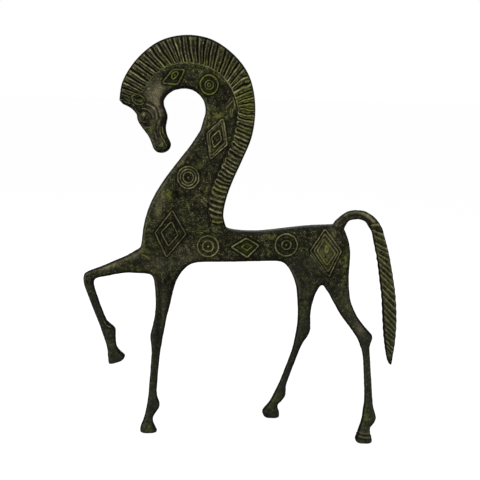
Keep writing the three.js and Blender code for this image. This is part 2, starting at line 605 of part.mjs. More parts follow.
const standingRegion = [
  STANDING_SEAM[0], [STANDING_SEAM[0][0], BELLY_HEIGHT - 15], [CHEST_X + 2.6, BELLY_HEIGHT - 20],
  [CHEST_X - 5.4, BELLY_HEIGHT - 76], [CHEST_X - 5.4, FLOOR_CLEAR], [CHEST_X + 34.6, FLOOR_CLEAR],
  [CHEST_X + 34.6, BELLY_HEIGHT - 36], [STANDING_SEAM[1][0] + 4, STANDING_SEAM[1][1] - 4.1],
];
const farHindRegion = [
  [0, HIND_SEAM_HEIGHT], [0, FLOOR_CLEAR], [LEG_GAP_X, FLOOR_CLEAR], [LEG_GAP_X, HIND_SEAM_HEIGHT],
];
const nearHindRegion = [
  [LEG_GAP_X, HIND_SEAM_HEIGHT], [LEG_GAP_X, FLOOR_CLEAR], [REAR_CLEAR, FLOOR_CLEAR],
  [REAR_CLEAR, HIND_SEAM_HEIGHT],
];
const tailRegion = [
  [TAIL_SEAM[0][0] - 5, TAIL_SEAM[0][1] + 2], [TAIL_SEAM[1][0] + 3, TAIL_SEAM[1][1] - 1.2],
  [BUTTOCK_X + 6, CROUP_HEIGHT - 20], [BUTTOCK_X + 6, FLOOR_CLEAR], [REAR_CLEAR, FLOOR_CLEAR],
  [REAR_CLEAR, TOP_CLEAR],
  [TAIL_SEAM[0][0] - 5, TOP_CLEAR],
];

// The band of the comb, from its root outwards
function crestRegion() {
  const root = curveThrough(CREST_ROOT).getPoints(CREST_ROOT.length * OUTLINE_STEPS);
  const shape = new THREE.Shape();
  shape.moveTo(...CREST_SEAM[0]);
  root.forEach((point) => shape.lineTo(point.x, point.y));
  shape.lineTo(root.at(-1).x, FLOOR_CLEAR);
  shape.lineTo(REAR_CLEAR, FLOOR_CLEAR);
  shape.lineTo(REAR_CLEAR, TOP_CLEAR);
  shape.lineTo(FRONT_CLEAR, TOP_CLEAR);
  shape.lineTo(FRONT_CLEAR, CREST_SEAM[0][1]);
  return shape;
}

// The neck side of the comb's root, moved out by the gap of the seam
function rootInset() {
  const curve = curveThrough(CREST_ROOT);
  const count = CREST_ROOT.length * OUTLINE_STEPS;
  const shape = new THREE.Shape();
  shape.moveTo(...THROAT_CENTRE);
  for (let step = 0; step <= count; step++) {
    const point = curve.getPoint(step / count);
    const tangent = curve.getTangent(step / count);
    shape.lineTo(point.x - tangent.y * JOINT_GAP, point.y + tangent.x * JOINT_GAP);
  }
  shape.lineTo(...neckFront);
  return shape;
}

const leastDepth = Math.min(BACK_HEIGHT, CROUP_HEIGHT) - BELLY_HEIGHT;
const edgeRound = Math.min(EDGE_ROUND, leastDepth / 4);
const body = slab(bodyOutline(), BODY_THICKNESS, edgeRound);
const raisedMaster = limb(RAISED_FORELEG);
const standingMaster = limb(STANDING_FORELEG);
const farHindMaster = limb(FAR_HIND_LEG);
const nearHindMaster = limb(NEAR_HIND_LEG);
const tailMaster = limb(TAIL_ROD).add(tailBrush());
const headMaster = [-1, 1].reduce((head, side) => head.add(ear(side)).add(eye(side)), limb(HEAD));

const castings = {
  trunk: [raisedMaster, standingMaster, farHindMaster, nearHindMaster, tailMaster]
    .reduce((sum, master) => sum.add(master), body)
    .subtract(widened(neckRegion, [0, -JOINT_GAP]))
    .subtract(widened(raisedRegion, [JOINT_GAP, 0]))
    .subtract(widened(standingRegion, [0, SLANTED_GAP]))
    .subtract(widened(farHindRegion, [0, JOINT_GAP]))
    .subtract(widened(nearHindRegion, [0, JOINT_GAP]))
    .subtract(widened(tailRegion, [0, -JOINT_GAP])),
  neck: body
    .intersect(region(neckRegion))
    .subtract(widened(headRegion, [0, JOINT_GAP]))
    .subtract(slab(crestRegion(), CUT_DEPTH)),
  head: body.add(headMaster).intersect(region(headRegion)),
  mane_crest: crestComb()
    .intersect(region(neckRegion))
    .subtract(widened(headRegion, [0, JOINT_GAP]))
    .subtract(slab(rootInset(), CUT_DEPTH)),
  raised_foreleg: body.add(raisedMaster).intersect(region(raisedRegion)),
  standing_foreleg: body.add(standingMaster).intersect(region(standingRegion)),
  far_hind_leg: body.add(farHindMaster).intersect(region(farHindRegion)),
  near_hind_leg: body.add(nearHindMaster).intersect(region(nearHindRegion)),
  tail: tailMaster.intersect(region(tailRegion)),
};

const pins = {};
for (const joint of JOINTS) {
  castings[joint.carrier] = castings[joint.carrier].add(tenon(joint));
  castings[joint.socket] = castings[joint.socket].subtract(tenon(joint, SOCKET_CLEARANCE));
  const face = BODY_THICKNESS / 2 - PIN_RECESS;
  const start = joint.blind ? -BLIND_PIN_REACH : -face;
  const holeStart = joint.blind ? start - PIN_CLEARANCE : -BODY_THICKNESS;
  const hole = rodAcross(joint.pin, joint.radius + PIN_CLEARANCE, holeStart, BODY_THICKNESS);
  castings[joint.carrier] = castings[joint.carrier].subtract(hole);
  castings[joint.socket] = castings[joint.socket].subtract(hole);
  pins[joint.name] = rodAcross(joint.pin, joint.radius, start, face);
}

for (const [name, share] of Object.entries(CREST_DOWELS)) {
  const root = curveThrough(CREST_ROOT);
  const seat = root.getPointAt(share);
  const along = root.getTangentAt(share);
  const out = new THREE.Vector2(-along.y, along.x);
  const end = (reach) => seat.clone().addScaledVector(out, reach).toArray();
  const bore = DOWEL_REACH + JOINT_GAP;
  const hole = rodAlong(end(-bore), end(bore), DOWEL_RADIUS + PIN_CLEARANCE);
  castings.neck = castings.neck.subtract(hole);
  castings.mane_crest = castings.mane_crest.subtract(hole);
  pins[name] = rodAlong(end(-DOWEL_REACH), end(DOWEL_REACH), DOWEL_RADIUS);
}

const patinatedBronze = { color: 0x3a3827, roughness: 0.55, metalness: 0.85 };
const bronzeRod = { color: 0x4a4226, roughness: 0.45, metalness: 0.9 };
const figure = new THREE.Group();
for (const [pieces, finish] of [[castings, patinatedBronze], [pins, bronzeRod]]) {
  for (const [name, solid] of Object.entries(pieces)) {
    const mesh = new THREE.Mesh(geometryOf(solid), new THREE.MeshStandardMaterial(finish));
    mesh.name = name;
    figure.add(mesh);
  }
}

// The frame: the middle of the footprint on the floor
const box = new THREE.Box3().setFromObject(figure);
figure.position.set(-(box.min.x + box.max.x) / 2, -(box.min.y + box.max.y) / 2, -box.min.z);
const horse = new THREE.Group();
horse.add(figure);

export default horse;
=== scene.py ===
"""Looks of a cast bronze horse: one flat plate with a combed crest, cast in pieces that are pinned together.

Lengths are in millimetres until a mesh is handed to Blender, which works in metres. The figure stands
with its flat faces across y: x runs from the chest to the tail, and z upwards from the soles.
"""

import logging
import math
from collections.abc import Iterable
from dataclasses import dataclass, field
from enum import Enum
from functools import cached_property

import bmesh
import bpy
import numpy as np
from mathutils import Matrix, Vector, noise


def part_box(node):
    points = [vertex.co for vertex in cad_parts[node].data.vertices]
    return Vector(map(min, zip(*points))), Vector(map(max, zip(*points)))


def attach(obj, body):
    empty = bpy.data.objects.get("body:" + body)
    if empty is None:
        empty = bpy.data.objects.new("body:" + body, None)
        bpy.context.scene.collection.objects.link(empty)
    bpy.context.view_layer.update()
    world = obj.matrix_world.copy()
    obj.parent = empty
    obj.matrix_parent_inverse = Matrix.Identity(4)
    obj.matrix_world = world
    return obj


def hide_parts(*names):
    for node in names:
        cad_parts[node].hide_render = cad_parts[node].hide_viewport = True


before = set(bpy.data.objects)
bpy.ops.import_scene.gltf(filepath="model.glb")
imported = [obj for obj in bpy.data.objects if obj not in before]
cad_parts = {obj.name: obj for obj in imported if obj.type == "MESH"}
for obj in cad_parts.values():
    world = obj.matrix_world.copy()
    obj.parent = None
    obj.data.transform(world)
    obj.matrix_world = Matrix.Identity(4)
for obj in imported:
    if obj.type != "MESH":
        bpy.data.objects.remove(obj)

MM = 0.001
PLATE_MIDDLE = -5.35
FORELOCK_TIP = (-88.9, 253.8)
FORELOCK_HEADING = (-0.83, -0.56)
BRONZE_SLOT = "patinated_bronze"
ROD_SLOT = "bronze_rod"
CAST = (
    "trunk", "neck", "head", "raised_foreleg", "standing_foreleg", "far_hind_leg", "near_hind_leg",
    "tail",
)
RODS = (
    "neck_pin", "head_pin", "raised_foreleg_pin", "standing_foreleg_pin", "far_hind_leg_pin",
    "near_hind_leg_pin", "tail_pin", "crest_dowel_front", "crest_dowel_top", "crest_dowel_rear",
)
LOG = logging.getLogger("bronze_horse")

Point = tuple[float, float]
Field = np.ndarray


class Trait(Enum):
    """What a place of the surface carries besides its shape, as a share from 0 to 1; several of them stand
    for painted light and shade.
    """

    # Light ridge tops and lines: partly rubbed tone, partly painted highlight and sheen.
    CREST_AND_HIGHLIGHT = "crest"
    # Dark hollows: partly dark patina, partly painted shade in grooves, beside ridges and on faces that turn
    # down.
    PIT = "pit"
    GREEN = "green"
    # Lighter grey tone: partly wear, partly painted light on the front edges and on lit bands.
    WORN_AND_LIT = "worn"
    # Near-black narrow sides and outlines: partly dull patina, partly painted shade.
    SIDE = "side"
    # Cooler grey tone: the legs' own tone, and a painted grey sheen on the top of the back, the tail's arc
    # and the forearm.
    COOL_AND_SHEEN = "cool"


def fade(low: float, high: float, values: Field) -> Field:
    """Smooth rise from 0 at low to 1 at high."""
    share = np.clip((values - low) / (high - low), 0.0, 1.0)
    return share * share * (3.0 - 2.0 * share)


def span(low: float, full: float, ease: float, high: float, values: Field) -> Field:
    """Smooth rise from 0 at low to 1 at full, and back from ease to 0 at high."""
    return fade(low, full, values) * (1.0 - fade(ease, high, values))


def bell(values: Field, width: float = 1.0) -> Field:
    """Soft bump that is 1 where the values are 0, and fades away over the width."""
    return np.exp(-((values / width) ** 2))


def grain(points: Field, size: float, seed: float) -> Field:
    """Smooth noise about zero.

    Args:
        points: places, one row of x, y, z each, in mm.
        size: width of one grain, in mm.
        seed: shifts the pattern, so that two grains differ.

    Returns:
        One value a place, about -1 to 1.
    """
    scaled = points / size + seed
    return np.array([noise.noise(Vector(row)) for row in scaled])


def lift(traits: dict[Trait, Field], trait: Trait, values: Field, near: Field | slice = slice(None)) -> None:
    """Raises a trait to the values at the near places, where they are higher."""
    traits[trait][near] = np.maximum(traits[trait][near], values)


def read(items: bpy.types.bpy_prop_collection, name: str, columns: int = 3, kind: type = float) -> Field:
    """A property of many items as rows of numbers.

    Args:
        items: the items, such as a mesh's vertices.
        name: the property.
        columns: numbers an item.
        kind: type of the numbers.

    Returns:
        One row an item.
    """
    values = np.empty(len(items) * columns, kind)
    items.foreach_get(name, values)
    return values.reshape(-1, columns)


class SmoothCurve:
    """A flowing curve through points of the figure's plane, measured along its length."""

    def __init__(self, points: Iterable[Point], steps: int = 40) -> None:
        """Samples the curve.

        Args:
            points: places that the curve goes through.
            steps: samples between two of them.
        """
        knots = np.array(list(points), float)
        last = len(knots) - 1
        samples = []
        for first in range(last):
            before, start, end, after = (
                knots[i] for i in (max(first - 1, 0), first, first + 1, min(first + 2, last))
            )
            for step in range(steps):
                share = step / steps
                slope_start, slope_end = (end - before) / 2, (after - start) / 2
                rest = 3 * (end - start) - 2 * slope_start - slope_end
                bend = 2 * (start - end) + slope_start + slope_end
                samples.append(start + share * (slope_start + share * (rest + share * bend)))
        samples.append(knots[-1])
        self.samples = np.array(samples)
        lengths = np.linalg.norm(np.diff(self.samples, axis=0), axis=1)
        self.reach = np.concatenate([[0.0], np.cumsum(lengths)])
        self.length = float(self.reach[-1])

    def at(self, shares: Field) -> Field:
        """Points at shares of the length, carried on straight past both ends.

        Args:
            shares: places along the curve, 0 at its start and 1 at its end.

        Returns:
            One row of x, z each.
        """
        inside = np.clip(shares, 0.0, 1.0)
        along = inside * self.length
        found = np.stack([np.interp(along, self.reach, self.samples[:, i]) for i in (0, 1)], axis=-1)
        past = ((shares - inside) * self.length)[..., None]
        start = self.samples[1] - self.samples[0]
        end = self.samples[-1] - self.samples[-2]
        heading = np.where(past < 0, start / np.linalg.norm(start), end / np.linalg.norm(end))
        return found + past * heading


def distance_to(path: Field, places: Field) -> Field:
    """Distance from places to a line of straight steps.

    Args:
        path: corners of the line, one row of x, z each.
        places: one row of x, z each.

    Returns:
        One distance a place, in mm.
    """
    nearest = np.full(len(places), np.inf)
    for start, end in zip(path[:-1], path[1:]):
        step = end - start
        share = np.clip((places - start) @ step / max(float(step @ step), 1e-9), 0.0, 1.0)
        nearest = np.minimum(nearest, np.linalg.norm(places - start - share[:, None] * step, axis=1))
    return nearest


def blunted(places: Field) -> Field:
    """Places with the forelock's point pressed in to a rounded tip.

    Args:
        places: x and z of the points, in mm.

    Returns:
        The moved x and z.
    """
    outwards = np.array(FORELOCK_HEADING)
    aside = places - np.array(FORELOCK_TIP)
    past = np.maximum(aside @ outwards, 0.0) * (1.0 - fade(3.0, 6.0, np.linalg.norm(aside, axis=1)))
    return places - (0.75 * past)[:, None] * outwards


@dataclass(frozen=True)
class Stroke:
    """A raised or cut line of the ornament, drawn on both faces of the plate.

    A positive height is a ridge with a recess on both sides, and a negative one a groove.
    """

    path: tuple[Point, ...]
    closed: bool = False
    flowing: bool = False
    height: float = 0.4
    recess: float = 0.35
    width: float = 0.46
    green: float = 0.4
    # How light a ridge's top is, as rubbed tone and painted highlight; for a groove, how dark it is.
    crest: float = 1.0
    bend: float = 0.0

    def corners(self) -> Field:
        """Corners of the line, one row of x, z each."""
        if self.bend:
            return self.bent_corners()
        path = list(self.path) + ([self.path[0]] if self.closed else [])
        if not self.flowing:
            return np.array(path, float)
        return SmoothCurve(path, 6).samples

    def bent_corners(self) -> Field:
        """The closed line with each corner turned into a short bend, one row of x, z each."""
        knots = np.array(self.path, float)
        rows = []
        for before, corner, after in zip(np.roll(knots, 1, 0), knots, np.roll(knots, -1, 0)):
            start = corner + self.bend * (before - corner) / np.linalg.norm(before - corner)
            end = corner + self.bend * (after - corner) / np.linalg.norm(after - corner)
            for share in (0.0, 0.25, 0.5, 0.75, 1.0):
                rows.append((1 - share) ** 2 * start + 2 * share * (1 - share) * corner + share**2 * end)
        return np.array(rows + rows[:1])


def ring(centre: Point, radius: float, tall: float = 1.0, **looks: float) -> Stroke:
    """A round line of the ornament.

    Args:
        centre: its middle, as x and z.
        radius: its radius along x, in mm.
        tall: its height over its width.
        **looks: any other field of a stroke.

    Returns:
        The closed stroke.
    """
    turns = [2 * math.pi * i / 40 for i in range(40)]
    path = tuple((centre[0] + radius * math.cos(a), centre[1] + radius * tall * math.sin(a)) for a in turns)
    return Stroke(path, closed=True, **looks)


def trace(height: float, recess: float, width: float, green: float, crest: float, *path: Point) -> Stroke:
    """A flowing line of the ornament through the path, with a stroke's looks in order."""
    return Stroke(path, False, True, height, recess, width, green, crest)


def groove(depth: float, width: float, *path: Point) -> Stroke:
    """A flowing groove through the path, with no recess beside it."""
    return trace(-depth, 0.0, width, 0.0, 1.0, *path)


@dataclass(frozen=True)
class Patch:
    """A soft-edged place of the surface with more of a trait, or with a swelling or a hollow."""

    centre: Point
    radii: Point
    traits: dict[Trait, float] = field(default_factory=dict)
    swell: float = 0.0
    tilt: float = 0.0

    def weight(self, places: Field) -> Field:
        """Share of the patch at places, 1 in its middle."""
        aside = places - np.array(self.centre)
        cos, sin = math.cos(self.tilt), math.sin(self.tilt)
        across = (aside[:, 0] * cos + aside[:, 1] * sin) / self.radii[0]
        along = (aside[:, 1] * cos - aside[:, 0] * sin) / self.radii[1]
        return np.exp(-(across**2 + along**2) * 1.2)


def patch(centre: Point, radii: Point, swell: float = 0.0, tilt: float = 0.0, **shares: float) -> Patch:
    """A patch of the surface.

    Args:
        centre: its middle, as x and z.
        radii: its reach along x and z before it is tilted.
        swell: height of its swelling, in mm.
        tilt: its turn, in radians.
        **shares: how much of each trait it adds, by the trait's name.

    Returns:
        The patch.
    """
    return Patch(centre, radii, {Trait(name): share for name, share in shares.items()}, swell, tilt)


@dataclass
class Ornament:
    """Everything carved on the two faces: rings, lozenges, the face, and coloured patches, some of them
    painted light and shade.
    """

    strokes: list[Stroke]
    patches: list[Patch]
    unsteady: float = 0.28
    # How dark the recess beside a ridge is painted, as patina and painted shade.
    recess_dark: float = 5.4

    def carve(self, places: Field, on_face: Field, traits: dict[Trait, Field]) -> Field:
        """Height of the carving, and what it adds to the traits.

        Args:
            places: x and z of every point of the skin, in mm.
            on_face: 1 where the skin lies on a flat face, down to 0 round its edges.
            traits: the fields that are raised in place.

        Returns:
            The height to add outwards at every point, in mm.
        """
        height = np.zeros(len(places))
        spots = np.c_[places, np.zeros(len(places))]
        drawn = places + self.unsteady * np.c_[grain(spots, 2.4, 1.7), grain(spots, 2.4, 9.2)]
        fine, coarse = (fade(-0.2, 0.2, grain(spots, size, seed)) for size, seed in ((1.9, 4.4), (6.0, 8.8)))
        firm = 0.36 + 0.36 * fine + 0.28 * coarse
        for stroke in self.strokes:
            path = stroke.corners()
            margin = 4.5 * stroke.width
            low, high = path.min(0) - margin, path.max(0) + margin
            near = np.flatnonzero(((places > low) & (places < high)).all(1))
            if not len(near):
                continue
            away = distance_to(path, drawn[near]) / stroke.width
            line = bell(away)
            beside = bell(away, 2.8) - line
            face = on_face[near]
            height[near] += face * (stroke.height * line - stroke.recess * beside)
            # Ridge tops lighter as rubbed tone and painted highlight; recesses beside them and grooves dark
            # as patina and painted shade.
            if stroke.height > 0:
                lift(traits, Trait.CREST_AND_HIGHLIGHT, line * stroke.crest * face * firm[near], near)
                lift(traits, Trait.PIT, self.recess_dark * stroke.recess * beside * face, near)
            else:
                lift(traits, Trait.PIT, stroke.crest * line * face, near)
            lift(traits, Trait.GREEN, stroke.green * bell(away, 1.6) * face, near)
        for spot in self.patches:
            weight = spot.weight(places) * on_face
            height += spot.swell * weight
            for trait, share in spot.traits.items():
                traits[trait] += share * weight
        return height


CIRCLES = [
    ring((-25.0, 148.4), 7.8, height=0.4, recess=0.2, green=0.35),
    ring((-25.0, 148.4), 4.0, height=0.4, recess=0.2, green=0.3),
    ring((-25.0, 148.4), 0.5, height=0.5, green=0.3),
    ring((32.8, 150.4), 8.2, height=0.4, recess=0.28, green=0.3),
    ring((32.8, 150.4), 3.4, height=0.4, recess=0.28, green=0.35),
    ring((32.8, 150.4), 0.4, height=0.5, green=0.3),
    ring((-39.8, 199.3), 7.7, 1.04, height=0.4, recess=0.3, green=0.3),
    ring((-39.8, 199.3), 5.7, 1.04, height=0.36, recess=0.26, green=0.15),
    ring((-39.8, 199.3), 3.8, 1.04, height=0.4, recess=0.26, green=0.2),
    ring((-39.8, 199.3), 0.4, height=0.6, green=0.3),
    ring((-25.2, 265.7), 6.3, 1.06, height=0.5, width=0.5, green=0.8, crest=1.1),
    ring((-25.2, 265.7), 3.0, 1.04, height=0.4, green=0.35, crest=0.85),
    ring((-25.2, 265.7), 1.2, 1.04, height=0.4, green=0.5, crest=0.7),
]

LOZENGES = [
    Stroke(((-7.6, 148.1), (3.0, 155.0), (12.6, 149.6), (4.2, 140.6)), True,
           width=0.58, green=0.25, bend=0.8),
    Stroke(((-0.4, 148.4), (3.7, 151.0), (7.6, 148.8), (4.0, 145.6)), True, green=0.9, bend=0.6),
    Stroke(((61.0, 162.9), (73.6, 146.6), (65.3, 126.8), (50.7, 146.2)), True,
           recess=0.3, green=0.15, crest=0.82, bend=1.2),
    Stroke(((61.0, 159.3), (71.4, 145.6), (64.6, 130.6), (53.4, 146.2)), True,
           height=0.3, recess=0.24, green=0.15, crest=0.66, bend=1.0),
    Stroke(((60.4, 155.7), (69.4, 144.6), (63.3, 135.7), (55.9, 146.3)), True,
           recess=0.2, green=0.5, crest=0.9, bend=1.0),
    ring((62.7, 147.8), 0.9, 2.6, height=0.5, recess=0.15, width=0.8, green=0.6, crest=0.6),
    Stroke(((-51.5, 174.8), (-41.4, 157.2), (-55.6, 139.7), (-64.1, 157.8)), True,
           green=0.15, crest=0.68, bend=1.2),
    Stroke(((-52.0, 166.5), (-47.0, 156.5), (-54.3, 147.9), (-59.7, 158.5)), True,
           green=0.2, crest=0.66, bend=1.0),
    Stroke(((-14.9, 242.3), (-12.0, 223.4), (-23.8, 213.0), (-26.6, 231.4)), True, green=0.1, bend=1.4),
    Stroke(((-16.1, 240.0), (-13.5, 224.9), (-23.3, 214.9), (-24.9, 230.8)), True,
           height=0.32, recess=0.28, green=0.12, crest=0.8, bend=1.0),
    Stroke(((-17.8, 234.0), (-15.8, 227.0), (-21.3, 221.2), (-23.1, 228.7)), True, green=0.15, bend=0.9),
    Stroke(((-50.8, 276.1), (-42.3, 275.9), (-47.6, 265.5), (-58.6, 266.5)), True, green=0.7, bend=1.6),
    Stroke(((-51.8, 270.7), (-51.3, 272.9), (-49.8, 274.2), (-47.9, 274.2), (-47.4, 272.6), (-48.7, 270.6),
            (-50.8, 269.5)), True, True, green=0.7),
    ring((-49.6, 272.1), 0.3, height=0.3, recess=0.1, width=0.4, green=0.5, crest=0.6),
]

FACE = [
    groove(0.5, 0.5, (-68.1, 252.7), (-65.2, 251.1), (-62.4, 248.5), (-61.5, 246.0), (-60.7, 240.9)),
    trace(0.35, 0.2, 0.4, 0.05, 0.75, (-69.6, 251.4), (-66.2, 249.9), (-63.7, 247.6), (-62.9, 245.2),
          (-62.4, 240.9)),
    groove(0.3, 0.35, (-70.4, 249.8), (-67.2, 248.6), (-65.1, 246.8), (-64.3, 244.4)),
    trace(0.3, 0.3, 0.36, 0.1, 0.7, (-72.6, 248.2), (-70.2, 247.9), (-67.4, 246.3), (-65.4, 243.6),
          (-65.1, 241.6)),
    groove(0.5, 0.4, (-74.4, 244.6), (-72.8, 246.4), (-70.2, 246.2), (-67.8, 244.7), (-65.9, 241.7)),
    groove(0.45, 0.4, (-74.2, 242.4), (-72.6, 240.8), (-70.3, 240.2), (-67.6, 240.6), (-65.9, 241.7)),
    trace(0.25, 0.3, 0.36, 0.1, 0.65, (-73.4, 239.3), (-71.4, 238.5), (-68.8, 238.7)),
    groove(0.35, 0.5, (-71.6, 235.6), (-70.4, 236.6), (-68.8, 236.2)),
    trace(0.25, 0.2, 0.36, 0.3, 0.5, (-70.9, 233.9), (-68.9, 235.0), (-67.2, 234.4)),
    trace(0.3, 0.3, 0.34, 0.5, 0.75, (-60.2, 235.1), (-59.9, 229.3), (-57.8, 225.9), (-55.5, 221.6)),
    trace(0.35, 0.25, 0.4, 0.05, 0.95, (-58.9, 235.2), (-58.1, 230.8), (-55.2, 227.1), (-53.6, 224.4)),
    groove(0.3, 0.5, (-63.2, 238.6), (-62.9, 232.6), (-61.6, 227.6)),
    trace(0.25, 0.2, 0.4, 0.1, 0.4, (-64.4, 232.6), (-63.6, 229.6), (-62.9, 226.0)),
    groove(0.5, 0.5, (-64.0, 219.2), (-62.6, 221.1), (-60.9, 220.6)),
    groove(0.4, 0.4, (-62.6, 215.8), (-60.9, 217.6), (-57.8, 217.9), (-54.8, 219.4)),
    trace(0.3, 0.0, 0.4, 0.0, 0.6, (-60.6, 216.6), (-58.9, 217.0), (-57.6, 216.5)),
    trace(0.35, 0.35, 0.42, 0.4, 0.8, (-80.3, 256.9), (-77.4, 258.2), (-74.4, 257.6), (-71.6, 255.4),
          (-70.9, 253.6)),
    trace(0.35, 0.35, 0.4, 0.2, 0.8, (-80.4, 256.4), (-79.5, 253.8), (-77.3, 251.6), (-74.4, 250.9),
          (-71.8, 252.2)),
    trace(0.25, 0.2, 0.5, 0.5, 0.5, (-79.2, 255.4), (-77.0, 253.8), (-74.2, 253.2), (-71.9, 253.6)),
    Stroke(((-88.6, 254.1), (-86.6, 254.2)), height=0.3, recess=0.3, width=0.4, green=0.2, crest=0.8),
    Stroke(((-86.1, 253.3), (-81.7, 251.6)), height=0.3, recess=0.3, width=0.4, green=0.2, crest=0.8),
    Stroke(((-85.4, 255.1), (-81.8, 253.3)), height=0.3, recess=0.3, width=0.4, green=0.2, crest=0.8),
    groove(0.9, 0.9, (-78.0, 256.0), (-75.8, 255.6), (-73.4, 255.4)),
]

# Lines and grooves on the body and limbs. The first two are a painted sheen along the tail's arc and painted
# shade under it; the line at the raised fetlock is a painted highlight along its upper edge, and the groove
# down the standing foreleg is a crease painted dark as shade.
LIMBS = [
    trace(0.05, 0.1, 1.2, 0.0, 0.75, (75.6, 173.3), (78.5, 175.5), (82.1, 176.0), (85.7, 175.7),
          (90.2, 173.9), (94.0, 171.4), (97.8, 167.7)),
    trace(-0.1, 0.0, 0.9, 0.0, 0.8, (78.6, 172.2), (82.9, 173.2), (87.3, 172.7), (91.9, 169.8),
          (94.2, 166.2)),
    trace(0.3, 0.3, 0.4, 0.0, 0.8, (-104.2, 86.9), (-102.3, 84.0), (-99.2, 81.9)),
    trace(-0.12, 0.0, 0.5, 0.0, 0.35, (-63.3, 125.5), (-61.1, 114.8), (-60.4, 99.3), (-59.7, 75.8)),
    trace(-0.3, 0.0, 1.0, 0.0, 0.75, (-6.8, 250.0), (-6.4, 241.0), (-9.0, 228.4), (-13.9, 214.6),
          (-20.2, 201.0), (-24.6, 187.2), (-25.6, 175.0), (-23.4, 165.0)),
    trace(0.25, 0.15, 0.4, 0.0, 0.95, (51.0, 143.2), (54.8, 138.4), (58.7, 133.1), (63.2, 128.0)),
    trace(0.2, 0.1, 0.5, 0.4, 0.6, (-73.7, 141.2), (-71.1, 140.0), (-68.5, 137.9)),
    trace(0.1, 0.0, 0.45, 0.0, 0.95, (67.7, 167.6), (70.2, 170.2), (73.0, 172.9)),
    Stroke(((-30.3, 183.2), (-25.9, 178.1)), height=0.1, recess=0.0, width=0.4, green=0.0, crest=0.9),
    Stroke(((-28.9, 184.7), (-25.2, 181.1)), height=0.1, recess=0.0, width=0.4, green=0.0, crest=0.8),
    trace(0.2, 0.2, 0.4, 0.3, 0.6, (-9.0, 258.0), (-10.5, 255.6), (-11.8, 253.5)),
    trace(0.3, 0.2, 0.45, 0.2, 0.9, (-8.4, 257.3), (-7.3, 254.8), (-6.9, 251.9), (-6.7, 249.3)),
    trace(0.2, 0.2, 0.4, 0.3, 0.6, (-8.6, 254.8), (-9.9, 252.9), (-11.8, 250.9), (-12.7, 249.6)),
    trace(0.2, 0.2, 0.4, 0.3, 0.6, (-7.6, 249.7), (-8.4, 247.5), (-8.8, 245.9), (-8.5, 243.3)),
    trace(0.2, 0.2, 0.4, 0.3, 0.5, (-9.5, 249.6), (-10.1, 246.5), (-9.1, 243.3)),
]

